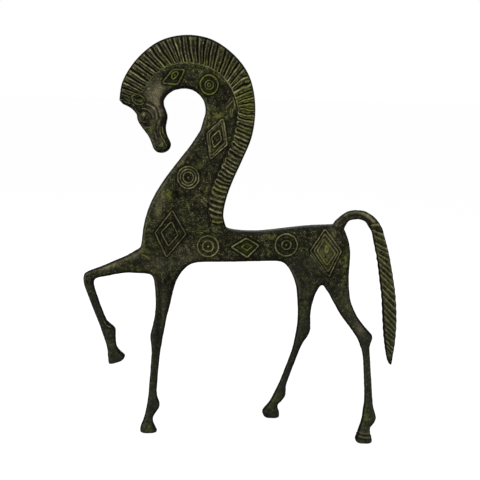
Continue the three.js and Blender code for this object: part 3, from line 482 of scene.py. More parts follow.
TINTS = [
    patch((-25.0, 148.4), (6.5, 6.5), green=0.25),
    patch((32.8, 150.4), (6.8, 6.8), pit=0.15),
    patch((-39.8, 199.3), (6.4, 6.6), pit=0.12),
    patch((-24.6, 265.7), (5.4, 5.8), pit=0.3),
    patch((-14.0, 260.5), (6.0, 7.5), pit=0.45),
    patch((-49.5, 271.4), (7.0, 4.5), pit=0.45),
    patch((3.0, 148.4), (8.0, 5.0), pit=0.1),
    patch((-25.3, 265.9), (8.0, 8.0), green=0.3),
    patch((3.2, 148.2), (6.0, 3.8), green=0.8),
    patch((62.9, 146.5), (4.5, 7.0), green=0.4, worn=0.25),
    patch((62.0, 146.0), (9.0, 14.0), worn=0.25),
    patch((-21.8, 220.0), (2.6, 4.0), green=0.5),
    patch((-19.0, 244.5), (6.5, 3.5), green=0.4),
    patch((-53.1, 186.2), (2.0, 3.5), green=0.7),
    patch((-31.4, 208.6), (1.8, 3.0), green=0.5),
    patch((80.0, 143.0), (2.4, 5.0), green=0.4),
    patch((-48.0, 272.0), (7.0, 4.0), green=0.25),
    patch((-49.8, 186.0), (3.0, 3.2), pit=1.3, swell=-0.9),
    patch((-53.9, 120.1), (3.2, 3.2), pit=1.2, swell=-0.8),
    patch((-67.4, 232.6), (1.3, 4.6), green=0.8, tilt=-0.55),
    patch((-72.0, 243.6), (3.2, 3.2), pit=0.25, swell=-0.7),
    # Painted highlight on the eye.
    patch((-71.9, 243.9), (1.0, 1.2), crest=0.7, worn=0.5, swell=0.5),
    patch((-67.9, 242.2), (2.2, 1.2), pit=0.7, swell=-0.5, tilt=-0.4),
    patch((-71.0, 237.4), (1.5, 1.0), pit=0.7, swell=-0.3),
    patch((-62.0, 250.0), (6.0, 9.0), worn=0.68),
    patch((-64.0, 231.0), (8.0, 12.0), worn=0.22),
    patch((-40.0, 138.0), (12.0, 10.0), worn=0.2),
    patch((52.0, 136.0), (9.0, 8.0), worn=0.06),
    patch((67.7, 154.2), (1.8, 6.5), worn=0.5, tilt=0.61),
    patch((67.2, 164.6), (3.2, 3.6), worn=0.45, cool=0.4),
    patch((62.3, 141.7), (0.8, 0.8), pit=1.6, swell=-0.3),
    patch((62.0, 138.4), (3.4, 2.4), green=0.85),
    patch((-66.0, 246.5), (5.0, 3.0), worn=0.4),
    patch((-62.0, 260.0), (7.0, 7.0), worn=0.6),
    patch((-87.6, 255.0), (3.6, 3.6), pit=0.5),
    patch((43.5, 133.0), (10.0, 12.0), cool=1.0, pit=0.3),
    patch((59.8, 127.5), (9.0, 7.0), pit=0.35),
    patch((-12.6, 155.5), (6.0, 5.0), pit=0.6),
    patch((47.0, 148.0), (3.5, 8.0), pit=0.35),
    # Painted grey sheen along the top of the tail's arc.
    patch((86.0, 173.0), (14.0, 6.0), cool=0.9, worn=0.15),
    patch((-62.0, 134.0), (9.0, 6.0), cool=0.6, worn=0.18),
    # Painted light along the upper edge of the forearm, with painted shade below it.
    patch((-80.5, 140.5), (9.0, 3.4), cool=0.9, worn=0.34, tilt=0.45),
    patch((-78.0, 133.6), (10.0, 3.2), pit=0.62, cool=0.3),
    patch((-99.0, 131.4), (7.5, 2.8), worn=0.75, green=0.3, tilt=0.36),
    patch((-71.5, 144.0), (4.0, 2.4), green=0.6, tilt=-0.5),
    patch((91.4, 88.0), (5.0, 7.0), worn=0.6, cool=0.4),
    patch((-60.8, 178.0), (3.0, 12.0), worn=0.5, green=0.2, tilt=-0.25),
    patch((77.0, 135.0), (2.4, 14.0), green=0.25),
    patch((80.5, 105.0), (5.0, 10.0), green=0.2, worn=0.2, tilt=0.5),
    patch((47.0, 100.0), (4.5, 12.0), green=0.15),
    # Painted shade down the left half of the standing foreleg, and painted light on its right strip.
    patch((-62.4, 85.0), (2.2, 30.0), pit=0.6),
    patch((-57.8, 92.0), (1.8, 22.0), worn=0.15),
    patch((-61.0, 50.0), (4.0, 16.0), pit=0.3),
    patch((27.0, 18.0), (6.0, 9.0), green=0.4),
    patch((97.0, 20.0), (5.0, 7.0), green=0.35),
    patch((-68.0, 5.0), (7.0, 4.0), green=0.3),
    patch((-99.0, 70.0), (3.5, 6.0), green=0.15),
]


@dataclass(frozen=True)
class Seam:
    """Where two castings meet: a broken line on the plate's plane, cut right across it."""

    path: tuple[Point, ...]
    reach: float = 2.0

    def open(self, skin: bmesh.types.BMesh) -> None:
        """Cuts the skin along the seam, so that the two castings come apart.

        Elements are gathered as keys of a dictionary, which keeps their order the same in every run.

        Args:
            skin: the whole skin, in metres.
        """
        corners = [Vector((x * MM, 0.0, z * MM)) for x, z in self.path]
        marked: dict[bmesh.types.BMEdge, None] = {}
        normals = []
        for start, end in zip(corners[:-1], corners[1:]):
            along = (end - start).normalized()
            normal = Vector((-along.z, 0.0, along.x))
            normals.append((start, along, normal, (end - start).length))
            middles = ((face, face.calc_center_median() - start) for face in skin.faces)
            near = [
                face for face, aside in middles
                if abs(aside.dot(normal)) < self.reach * MM
                and -self.reach * MM < aside.dot(along) < (end - start).length + self.reach * MM
            ]
            parts = dict.fromkeys(near)
            for face in near:
                parts.update(dict.fromkeys(face.edges))
                parts.update(dict.fromkeys(face.verts))
            bmesh.ops.bisect_plane(skin, geom=list(parts), dist=1e-7, plane_co=start, plane_no=normal)
        for edge in skin.edges:
            middle = (edge.verts[0].co + edge.verts[1].co) / 2
            for start, along, normal, length in normals:
                if not -1e-6 < (middle - start).dot(along) < length + 1e-6:
                    continue
                if all(abs((vert.co - start).dot(normal)) < 2e-6 for vert in edge.verts):
                    marked[edge] = None
        bmesh.ops.split_edges(skin, edges=list(marked))


SEAMS = [
    Seam(((-78.2, 180.5), (-4.5, 160.5))),
    Seam(((-73.6, 260.5), (-55.6, 250.6))),
    Seam(((-77.9, 149.6), (-69.0, 123.3))),
    Seam(((-66.9, 121.0), (-66.9, 130.4), (-48.2, 111.1))),
    Seam(((34.0, 112.0), (90.0, 112.0))),
    Seam(((64.6, 167.3), (80.0, 161.1))),
]


@dataclass
class Castings:
    """The eight castings that are told apart only by fine seams, under one bronze skin."""

    names: tuple[str, ...]
    fillers: tuple[str, ...]
    ornament: Ornament
    voxel: float = 0.5
    growth: float = 0.3
    sharpest: float = 1.6
    shrink: float = 0.12
    calm_passes: int = 26
    extra_passes: int = 45
    calmer: tuple[tuple[Point, Point], ...] = (
        ((84.0, 140.0), (125.0, 182.0)), ((101.0, 54.0), (125.0, 141.0)), ((30.0, 106.0), (60.0, 118.0)),
    )
    roughness: tuple[tuple[float, float], ...] = ((6.0, 0.10), (2.6, 0.09), (1.3, 0.07))
    leg_rise: Point = (90.0, 135.0)
    back_rise: tuple[float, float, float, float] = (150.0, 154.0, 170.0, 173.0)
    back_reach: tuple[float, float, float, float] = (-14.0, -8.0, 80.0, 84.0)

    def solids(self) -> bpy.types.Object:
        """The castings and their pins as one mesh, each a little fuller so that the seams close.

        Returns:
            A loose object that isn't in the scene yet.
        """
        joined = bmesh.new()
        for name in self.names + self.fillers:
            single = bmesh.new()
            single.from_mesh(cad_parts[name].data)
            bmesh.ops.remove_doubles(single, verts=single.verts, dist=1e-6)
            single.normal_update()
            moves = [
                vert.normal * min(vert.calc_shell_factor(), self.sharpest) * self.growth * MM
                for vert in single.verts
            ]
            for vert, move in zip(single.verts, moves):
                vert.co += move
            fuller = bpy.data.meshes.new(name + "_fuller")
            single.to_mesh(fuller)
            single.free()
            joined.from_mesh(fuller)
            bpy.data.meshes.remove(fuller)
        mesh = bpy.data.meshes.new("skin")
        joined.to_mesh(mesh)
        joined.free()
        return bpy.data.objects.new("skin", mesh)

    def pour(self) -> bpy.types.Mesh:
        """Covers the solids with one even skin and drops what lies inside it.

        Returns:
            The outer skin, in metres, before its carving.
        """
        body = self.solids()
        bpy.context.scene.collection.objects.link(body)
        remesh = body.modifiers.new("pour", "REMESH")
        remesh.mode = "VOXEL"
        remesh.voxel_size = self.voxel * MM
        graph = bpy.context.evaluated_depsgraph_get()
        mesh = bpy.data.meshes.new_from_object(body.evaluated_get(graph))
        bpy.data.objects.remove(body)
        skin = bmesh.new()
        skin.from_mesh(mesh)
        shells = loose_shells(skin)
        for shell in shells[1:]:
            bmesh.ops.delete(skin, geom=shell, context="VERTS")
        skin.to_mesh(mesh)
        skin.free()
        return mesh

    def calm(self, mesh: bpy.types.Mesh) -> None:
        """Softens the facets of the solids without thinning the limbs.

        Args:
            mesh: the skin, changed in place.
        """
        places = read(mesh.vertices, "co")
        edges = read(mesh.edges, "vertices", 2, int)
        ends = np.concatenate([edges[:, 0], edges[:, 1]])
        others = np.concatenate([edges[:, 1], edges[:, 0]])
        order = np.argsort(ends, kind="stable")
        others = others[order]
        starts = np.searchsorted(ends[order], np.arange(len(places)))
        degree = np.diff(np.append(starts, len(others)))[:, None]
        plane = places[:, (0, 2)] / MM
        longer = np.any([((plane > low) & (plane < high)).all(1) for low, high in self.calmer], axis=0)
        chosen = np.flatnonzero(longer)
        chosen_others = others[np.repeat(longer, degree[:, 0])]
        chosen_starts = np.concatenate([[0], np.cumsum(degree[chosen, 0])[:-1]])

        def softened(values: Field) -> Field:
            """The values after the passes."""
            for _ in range(self.calm_passes):
                values = (values + np.add.reduceat(values[others], starts, axis=0) / degree) / 2
            values = values.copy()
            for _ in range(self.extra_passes):
                mean = np.add.reduceat(values[chosen_others], chosen_starts, axis=0) / degree[chosen]
                values[chosen] = (values[chosen] + mean) / 2
            return values

        soft = softened(places)
        soft += softened(places - soft)
        mesh.vertices.foreach_set("co", soft.ravel())
        mesh.update()

    def finish_surface(self, mesh: bpy.types.Mesh) -> None:
        """Carves the faces, roughens the skin and stores its traits.

        Args:
            mesh: the calm skin, changed in place.
        """
        normals = read(mesh.vertex_normals, "vector")
        places = read(mesh.vertices, "co") / MM - self.shrink * normals
        flat = np.abs(normals[:, 1])
        on_face = fade(0.35, 0.85, flat)
        traits = {trait: np.zeros(len(places)) for trait in Trait}
        plane = places[:, (0, 2)]
        height = self.ornament.carve(plane, on_face, traits)
        height += TAIL.carve(plane, flat, traits)
        height += HOOVES.carve(places, traits)
        for size, depth in self.roughness:
            height += depth * grain(places, size, 7.0 * size)
        # Painted light and shade by the way the skin turns.
        self.shade_turns(places, normals, traits)
        places += height[:, None] * normals
        places[:, (0, 2)] = blunted(places[:, (0, 2)])
        mesh.vertices.foreach_set("co", (places * MM).ravel())
        mesh.update()
        store_traits(mesh, traits)
        smooth = mesh.attributes.new("skin_normal", "FLOAT_VECTOR", "POINT")
        smooth.data.foreach_set("vector", read(mesh.vertex_normals, "vector").ravel())

    def shade_turns(self, places: Field, normals: Field, traits: dict[Trait, Field]) -> None:
        """Darkens the narrow sides as dull patina and painted shade, paints shade on the undersides, paints
        light on the edges that face the front, paints a grey sheen with shade on the top of the back and
        cools the legs.

        Args:
            places: x, y and z of every point, in mm.
            normals: which way the skin faces there.
            traits: the fields that are raised in place.
        """
        x, y, z = places.T
        flat = np.abs(normals[:, 1])
        legs = 1.0 - fade(*self.leg_rise, z)
        # The top of the back, which gets a painted grey sheen and painted shade; rear is its far half,
        # painted darker.
        back = fade(0.3, 0.8, normals[:, 2]) * span(*self.back_rise, z) * span(*self.back_reach, x)
        # Narrow sides and outlines painted near black, as dull patina and painted shade.
        turned = (1.0 - fade(0.28, 0.72, flat - 0.12 * legs)) * (0.25 + 0.75 * fade(0.05, 0.25, flat))
        rear = back * fade(PLATE_MIDDLE - 0.5, PLATE_MIDDLE + 2.0, y) * (0.4 + 0.6 * fade(5.0, 20.0, x))
        traits[Trait.SIDE] += turned * (1.0 - 0.85 * back) + 0.3 * back + 0.65 * rear
        # Painted light on the edges that face forward and a little up, towards the key lamp.
        lit_front_edge = fade(0.1, 0.6, 0.15 * normals[:, 2] - normals[:, 0])
        edge = span(0.45, 0.75, 0.85, 0.98, flat)
        traits[Trait.COOL_AND_SHEEN] += legs + 0.4 * back
        traits[Trait.WORN_AND_LIT] += 0.36 * edge * lit_front_edge * (1.0 - 0.6 * legs)
        # Painted shade on the faces that turn down and towards the tail.
        below = fade(-0.1, 0.5, (0.5 - 0.4 * legs) * normals[:, 0] - normals[:, 2])
        below *= (1.0 - fade(0.85, 0.99, flat)) * (0.25 + 0.75 * fade(0.05, 0.3, flat))
        lift(traits, Trait.PIT, 0.8 * below)

    def build(self) -> dict[str, bpy.types.Object]:
        """Builds the skin, opens its seams and makes each casting a closed piece.

        Returns:
            The finished pieces by the name of the node that each stands for.
        """
        mesh = self.pour()
        self.calm(mesh)
        self.finish_surface(mesh)
        skin = bmesh.new()
        skin.from_mesh(mesh)
        bpy.data.meshes.remove(mesh)
        for seam in SEAMS:
            seam.open(skin)
        for crumb in loose_shells(skin)[len(self.names):]:
            bmesh.ops.delete(skin, geom=crumb, context="VERTS")
        is_cap = skin.faces.layers.int.new("cap")
        open_edges = [edge for edge in skin.edges if edge.is_boundary]
        caps = bmesh.ops.holes_fill(skin, edges=open_edges, sides=0)["faces"]
        for face in caps:
            face[is_cap] = 1
        bmesh.ops.triangulate(skin, faces=caps)
        pieces = {}
        for shell in loose_shells(skin):
            name = self.nearest_node(shell)
            part = skin.copy()
            part.verts.ensure_lookup_table()
            skin.verts.index_update()
            kept = {vert.index for vert in shell}
            away = [vert for vert in part.verts if vert.index not in kept]
            bmesh.ops.delete(part, geom=away, context="VERTS")
            bmesh.ops.recalc_face_normals(part, faces=part.faces)
            if part.calc_volume(signed=True) < 0:
                bmesh.ops.reverse_faces(part, faces=part.faces)
            pieces[name] = piece_from(part, name + "_bronze")
            keep_normals(pieces[name].data)
        skin.free()
        return pieces

    def nearest_node(self, shell: list[bmesh.types.BMVert]) -> str:
        """Name of the casting whose box the shell fills best."""
        low = Vector(min(vert.co[i] for vert in shell) for i in range(3))
        high = Vector(max(vert.co[i] for vert in shell) for i in range(3))

        def misfit(name: str) -> float:
            """How far the two boxes stand apart at their corners."""
            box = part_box(name)
            return (box[0] - low).length + (box[1] - high).length

        return min(self.names, key=misfit)


def loose_shells(skin: bmesh.types.BMesh) -> list[list[bmesh.types.BMVert]]:
    """Parts of a mesh that hang together, the largest first."""
    unseen = set(skin.verts)
    shells = []
    while unseen:
        first = unseen.pop()
        shell = [first]
        for vert in shell:
            for edge in vert.link_edges:
                other = edge.other_vert(vert)
                if other in unseen:
                    unseen.discard(other)
                    shell.append(other)
        shells.append(shell)
    return sorted(shells, key=len, reverse=True)


def store_traits(mesh: bpy.types.Mesh, traits: dict[Trait, Field]) -> None:
    """Writes each trait as an attribute of the mesh's points."""
    for trait, values in traits.items():
        layer = mesh.attributes.new(trait.value, "FLOAT", "POINT")
        layer.data.foreach_set("value", np.clip(values, 0.0, 1.0))


def piece_from(shape: bmesh.types.BMesh, name: str) -> bpy.types.Object:
    """Puts a finished shape into the scene.

    Args:
        shape: the shape in metres, freed here.
        name: name of the new object.

    Returns:
        The smooth-shaded object, at the origin.
    """
    mesh = bpy.data.meshes.new(name)
    shape.to_mesh(mesh)
    shape.free()
    mesh.shade_smooth()
    piece = bpy.data.objects.new(name, mesh)
    bpy.context.scene.collection.objects.link(piece)
    return piece


def keep_normals(mesh: bpy.types.Mesh) -> None:
    """Shades both sides of a seam alike, and its hidden cut faces flat."""
    corner = read(mesh.loops, "vertex_index", 1, int)[:, 0]
    normals = read(mesh.attributes["skin_normal"].data, "vector")[corner]
    cap = mesh.attributes["cap"].data
    for polygon in mesh.polygons:
        if cap[polygon.index].value:
            normals[list(polygon.loop_indices)] = polygon.normal
    lengths = np.linalg.norm(normals, axis=1, keepdims=True)
    mesh.normals_split_custom_set(normals / np.maximum(lengths, 1e-9))
    for name in ("skin_normal", "cap"):
        mesh.attributes.remove(mesh.attributes[name])


@dataclass(frozen=True)
class Fan:
    """Lines side by side, such as the grooves between locks, each from its outer to its inner end."""

    lines: tuple[tuple[Point, Point], ...]

    def phase(self, places: Field) -> tuple[Field, Field]:
        """Count of lines passed at each place, and how far apart its two neighbours lie.

        Args:
            places: x and z of the points, in mm.

        Returns:
            The count, a whole number on every line, and the distance of its two neighbours in mm.
        """
        ends = np.array(self.lines, float)
        ends = np.concatenate([2 * ends[:1] - ends[1:2], ends, 2 * ends[-1:] - ends[-2:-1]])
        outer, step = ends[:, 0], ends[:, 1] - ends[:, 0]
        length = np.linalg.norm(step, axis=1)
        step /= length[:, None]
        aside = places[:, None, :] - outer[None]
        along = np.clip((aside * step).sum(2), 0.0, length)
        away = np.linalg.norm(aside - along[..., None] * step, axis=2)
        offset = aside[..., 0] * step[:, 1] - aside[..., 1] * step[:, 0]
        rows = np.arange(len(places))
        nearest = np.clip(np.argmin(away, axis=1), 1, len(outer) - 2)
        here = offset[rows, nearest]
        onward = np.where(here < 0, 1, -1)
        there = offset[rows, nearest + onward]
        width = np.maximum(np.abs(here) + np.abs(there), 1e-3)
        return nearest - 1 + onward * np.abs(here) / width, width


@dataclass(frozen=True)
class TailBrush:
    """The strands of the tail, slanting to the rear as they come down the brush."""

    front: tuple[Point, ...]
    back: tuple[Point, ...]
    strands: Fan
    reach: tuple[Point, Point] = ((90.0, 55.0), (130.0, 174.0))
    ridge: float = 0.3
    furrow: float = 0.35

    def carve(self, places: Field, flat: Field, traits: dict[Trait, Field]) -> Field:
        """Height of the strands, and what they add to the traits.

        Args:
            places: x and z of every point, in mm.
            flat: 1 where the skin faces straight across the figure.
            traits: the fields that are raised in place.

        Returns:
            The height to add outwards, in mm.
        """
        height = np.zeros(len(places))
        low, high = self.reach
        near = np.flatnonzero(((places > low) & (places < high)).all(1))
        place = places[near]
        left, right = (
            sign * (place[:, 0] - np.interp(place[:, 1], *reversed(np.array(side[::-1]).T)))
            for sign, side in ((1.0, self.back), (-1.0, self.front))
        )
        spots = np.c_[place, 0.0 * near]
        phase = self.strands.phase(place)[0] + 0.07 * grain(spots, 3.0, 2.3)
        past = phase - np.floor(phase)
        ridge = bell(past, 0.17) + bell(1.0 - past, 0.08)
        furrow = bell(past - 0.78, 0.12)
        last = len(self.strands.lines) - 1
        calm = span(-0.7, -0.2, last + 0.2, last + 0.8, phase) * fade(-0.3, 0.4, left)
        face = fade(0.45, 0.8, flat[near]) * calm
        height[near] = face * (self.ridge * ridge - self.furrow * furrow)
        broken = 0.5 + 0.5 * fade(-0.3, 0.3, grain(spots, 2.2, 6.1))
        # The brush's outline, painted near black as shade.
        rim = np.maximum(1.0 - fade(1.0, 2.2, left), 1.0 - fade(0.4, 1.3, right)) * calm
        shown = face * (1.0 - rim)
        # Strand tops lighter as painted highlight; furrows dark as painted shade, and the whole brush a
        # little darker.
        lift(traits, Trait.CREST_AND_HIGHLIGHT, 0.8 * ridge * shown * broken, near)
        lift(traits, Trait.PIT, (0.2 + 0.7 * furrow) * shown, near)
        lift(traits, Trait.GREEN, 0.2 * shown, near)
        lift(traits, Trait.SIDE, 0.85 * rim, near)
        return height


TAIL = TailBrush(
    front=((97.1, 171.8), (102.4, 166.0), (106.2, 158.4), (109.3, 149.6), (112.9, 134.6), (115.7, 121.0),
           (117.9, 106.0), (118.9, 90.4), (118.4, 75.4), (117.2, 64.2), (116.4, 59.2), (115.4, 57.0)),
    back=((93.2, 166.2), (94.9, 161.8), (96.5, 157.4), (98.1, 149.4), (101.7, 134.4), (103.9, 120.8),
          (106.3, 106.0), (107.7, 90.4), (109.5, 75.4), (111.5, 64.2), (113.2, 58.8), (114.4, 56.8)),
    strands=Fan((
        ((99.7, 166.2), (94.1, 165.6)), ((102.2, 159.5), (94.8, 162.8)), ((105.4, 154.6), (96.3, 158.5)),
        ((106.9, 148.3), (97.6, 153.1)), ((107.9, 145.1), (98.6, 149.5)), ((109.2, 139.9), (99.3, 145.6)),
        ((110.6, 133.8), (100.1, 143.3)), ((111.4, 129.4), (101.1, 138.2)), ((112.8, 123.6), (101.9, 133.6)),
        ((113.7, 118.6), (102.5, 130.0)), ((114.6, 113.5), (103.7, 123.6)), ((115.3, 107.8), (104.4, 119.0)),
        ((115.9, 102.5), (105.0, 113.3)), ((116.6, 96.4), (105.6, 107.4)), ((117.0, 91.4), (106.3, 102.9)),
        ((117.1, 86.5), (106.7, 98.1)), ((116.8, 83.4), (107.3, 92.0)), ((116.8, 79.4), (107.9, 87.9)),
        ((116.5, 76.4), (108.4, 83.2)), ((116.2, 71.0), (109.0, 78.6)), ((115.9, 68.1), (109.5, 74.5)),
        ((115.2, 64.5), (110.3, 71.1)), ((114.5, 63.0), (111.2, 67.3)),
    )),
)


@dataclass(frozen=True)
class HoofLines:
    """The two fine lines across the near hind hoof, each a groove under a low rim.

    Each line is the x of its middle, its height there, its fall along x and how far above it the rim lies.
    """

    lines: tuple[tuple[float, float, float, float], ...]
    half_width: float = 11.0
    half_height: float = 9.0

    def carve(self, places: Field, traits: dict[Trait, Field]) -> Field:
        """Depth of the lines.

        Args:
            places: x, y and z of every point, in mm.
            traits: the fields that are raised in place.

        Returns:
            The height to add outwards, in mm.
        """
        height = np.zeros(len(places))
        for middle, level, fall, above in self.lines:
            aside = places[:, 0] - middle
            near = (np.abs(aside) < self.half_width) & (np.abs(places[:, 2] - level) < self.half_height)
            away = places[:, 2] - level - fall * aside
            line = bell(away, 0.6) * near
            rim = bell(away - above, 0.7) * near
            height += 0.15 * rim - 0.3 * line
            # The groove is painted dark as patina and shade, and the rim above it lighter as a painted
            # highlight.
            lift(traits, Trait.PIT, 0.8 * line)
            lift(traits, Trait.CREST_AND_HIGHLIGHT, 0.2 * rim)
        return height


HOOVES = HoofLines((
    (95.8, 6.3, -0.06, 1.1),
    (95.8, 3.5, -0.12, 1.3),
))


@dataclass
class ManeComb:
    """The crest of the mane: a fan of locks from the forelock over the poll down to the withers."""

    rim: SmoothCurve
    root: SmoothCurve
    fan: Fan
    columns: int = 780
    lean: float = 0.13
    lean_onset: float = 1.9
    overhang: float = 0.15
    rows: int = 56
    groove_start: float = 0.10
    strand_half: float = 0.085
    groove_depth: float = 1.0
    furrow_depth: float = 0.75
    wander: float = 0.16
    hang: float = 0.1
    seed: int = 11
    nape: tuple[float, float, float, float] = (0.46, 0.5, 0.64, 0.70)
    withers: Point = (0.64, 0.72)
    thickness: tuple[tuple[float, ...], ...] = (
        (-0.05, 0.0, 0.05, 0.5, 0.86, 0.94, 0.985, 1.0), (6.2, 6.75, 7.5, 6.35, 4.65, 3.9, 2.4, 0.0),
    )
    doubled: tuple[tuple[float, ...], ...] = ((0.2, 0.28, 0.62, 0.72), (0.25, 0.05, 0.05, 0.75))

    def build(self) -> bpy.types.Object:
        """Builds the comb from a sheet that is wrapped round its rim and closed along its root.

        Returns:
            The finished piece.
        """
        shape = bmesh.new()
        bmesh.ops.create_grid(shape, x_segments=self.columns, y_segments=2 * self.rows, size=1.0)
        shape.verts.index_update()
        grid = np.array([vert.co for vert in shape.verts])
        share = (grid[:, 0] + 1.0) / 2.0
        around = grid[:, 1]
        places, traits = self.surface(share, around)
        for vert, place in zip(shape.verts, places):
            vert.co = Vector(place) * MM
        root_edges = [
            edge for edge in shape.edges
            if edge.is_boundary and all(abs(around[vert.index]) > 0.9999 for vert in edge.verts)
        ]
        bmesh.ops.bridge_loops(shape, edges=root_edges)
        ends = [edge for edge in shape.edges if edge.is_boundary]
        caps = bmesh.ops.holes_fill(shape, edges=ends, sides=0)["faces"]
        bmesh.ops.triangulate(shape, faces=caps)
        bmesh.ops.recalc_face_normals(shape, faces=shape.faces)
        comb = piece_from(shape, "mane_comb")
        store_traits(comb.data, traits)
        return comb

    def flow(self, share: Field, across: Field) -> tuple[Field, Field]:
        """Places on the sheet midway between the comb's two faces.

        Args:
            share: place along the comb, from 0 at the forelock to 1 at the withers.
            across: place across it, from 0 at the root to 1 at the rim.

        Returns:
            One row of x, z a point, and the length of its lock in mm.
        """
        lean = self.lean * np.sin(np.pi * np.clip(share, 0.0, 1.0) ** self.lean_onset)
        outer = self.rim.at(share)
        inner = self.root.at(np.where(share < 0, share, np.maximum(share - lean, 0.0)))
        outer += self.overhang * (outer - inner) / np.linalg.norm(outer - inner, axis=1, keepdims=True)
        return inner + (outer - inner) * across[:, None], np.linalg.norm(outer - inner, axis=1)

    def surface(self, share: Field, around: Field) -> tuple[Field, dict[Trait, Field]]:
        """Places and traits of the comb's surface.

        Args:
            share: place along the comb, from 0 at the forelock to 1 at the withers.
            around: place across it, from -1 at the root of the far face over the rim to 1 at the near one.

        Returns:
            One row of x, y, z a point, in mm, and the traits.
        """
        rng = np.random.default_rng(self.seed)
        across = np.clip(1.0 - np.abs(around) * 1.05, -0.05, 1.0)
        share = share * 1.003
        kept = np.clip(share, 0.0, 1.0)
        flow, length = self.flow(share, across)
        side = np.where(around < 0, 1.0, -1.0)
        lower = fade(*self.withers, kept)
        phase, pitch = self.fan.phase(flow)
        chart = np.stack([phase, 2.4 * across, 9.0 * side], axis=1)
        thick = span(*self.nape, kept)
        wander = self.wander * (1.0 + thick) * (grain(chart, 1.9, 5.3) + 0.6 * grain(chart, 0.8, 2.9))
        turned = phase + wander - self.hang * lower * np.sin(math.pi * across)
        nearest = np.round(turned)
        halves = rng.uniform(0.5, 1.2, 2 * len(self.fan.lines) + 8)
        order = np.clip(np.floor(2 * turned).astype(int) + 3, 0, len(halves) - 1)
        # Each lock's half turned away from the key lamp gets a dimmer ridge as painted shade, and the lit
        # half keeps a painted highlight.
        front = 1.0 - fade(0.2, 0.28, kept)
        away_from_light = np.where(order % 2 == 0, 1.0 - front, front) * (1.0 - lower)
        strength = halves[order] * (1.0 - (0.6 + 0.35 * thick) * away_from_light) * (1.0 + 0.25 * thick)
        before = np.minimum(across - self.groove_start, 0.0) * length / pitch
        apart = np.hypot(turned - nearest, before)
        strand = bell(apart - 0.25, self.strand_half * (1.0 + 0.7 * thick))
        valley = 1.0 - fade(0.05 + 0.05 * front, 0.18 + 0.03 * lower + 0.07 * front, apart)
        double = np.interp(kept, *self.doubled)
        furrow = fade(0.27, 0.5, apart) * fade(0.04, 0.16, across) * double
        combed = 0.2 + 0.8 * fade(0.3, 1.7, phase + 1.4 * across - 0.9)
        thickness = np.interp(across, *self.thickness)
        thickness -= 0.9 * fade(0.965, 1.0, share) * (across < 0.9)
        shallow = np.minimum(1.0, 0.3 * thickness)
        cut = (self.groove_depth * valley + self.furrow_depth * furrow) * shallow * combed
        rough = 0.07 * grain(np.stack([flow[:, 0], side, flow[:, 1]], axis=1), 1.6, 3.1)
        half_thick = np.maximum(thickness - cut + (0.3 * strand * strength * combed + rough) * shallow, 0.0)
        x, z = blunted(flow).T
        places = np.stack([x, PLATE_MIDDLE + side * half_thick, z], axis=1)
        rim = fade(0.0, 0.04, across - 0.915 + 0.045 * lower)
        border = bell((across - 0.035) * length, 0.45) * (1.0 - fade(0.58, 0.68, kept))
        broken = 0.4 + 0.6 * fade(-0.25, 0.35, grain(chart, 0.6, 8.1))
        inward = 1.0 - 0.45 * fade(0.1, 0.6, across) * np.interp(kept, [0.25, 0.32, 0.45, 0.52], [0, 1, 1, 0])
        # Painted highlight at the outer ends of the front locks.
        tip = bell(across - 0.9, 0.07) * (1.0 - fade(0.4, 0.5, kept)) * (1.0 - valley)
        traits = {trait: np.zeros(len(share)) for trait in Trait}
        lit = np.maximum(strand * strength * inward, 0.75 * border)
        traits[Trait.CREST_AND_HIGHLIGHT] = np.maximum(lit, 0.6 * tip * strength) * broken * combed * (1.0 - rim)
        # Valleys and furrows dark as patina and painted shade, and the lands between the strands darker.
        dark = np.maximum(valley, 0.85 * furrow) * (1.0 - 0.35 * lower)
        between = (1.0 - strand) * (1.0 - border) * (1.0 - 0.7 * lower)
        traits[Trait.PIT] = np.maximum(dark, (0.6 - 0.12 * front) * between) * (1.0 - rim)
        # The rim, painted near black as shade round the outline.
        traits[Trait.SIDE] = rim * (1.0 - 0.75 * fade(0.975, 1.0, across))
        green = sum(spot.traits[Trait.GREEN] * spot.weight(flow) for spot in MANE_TINTS)
        traits[Trait.GREEN] = green * (0.35 + 0.65 * np.maximum(strand, border))
        return places, traits


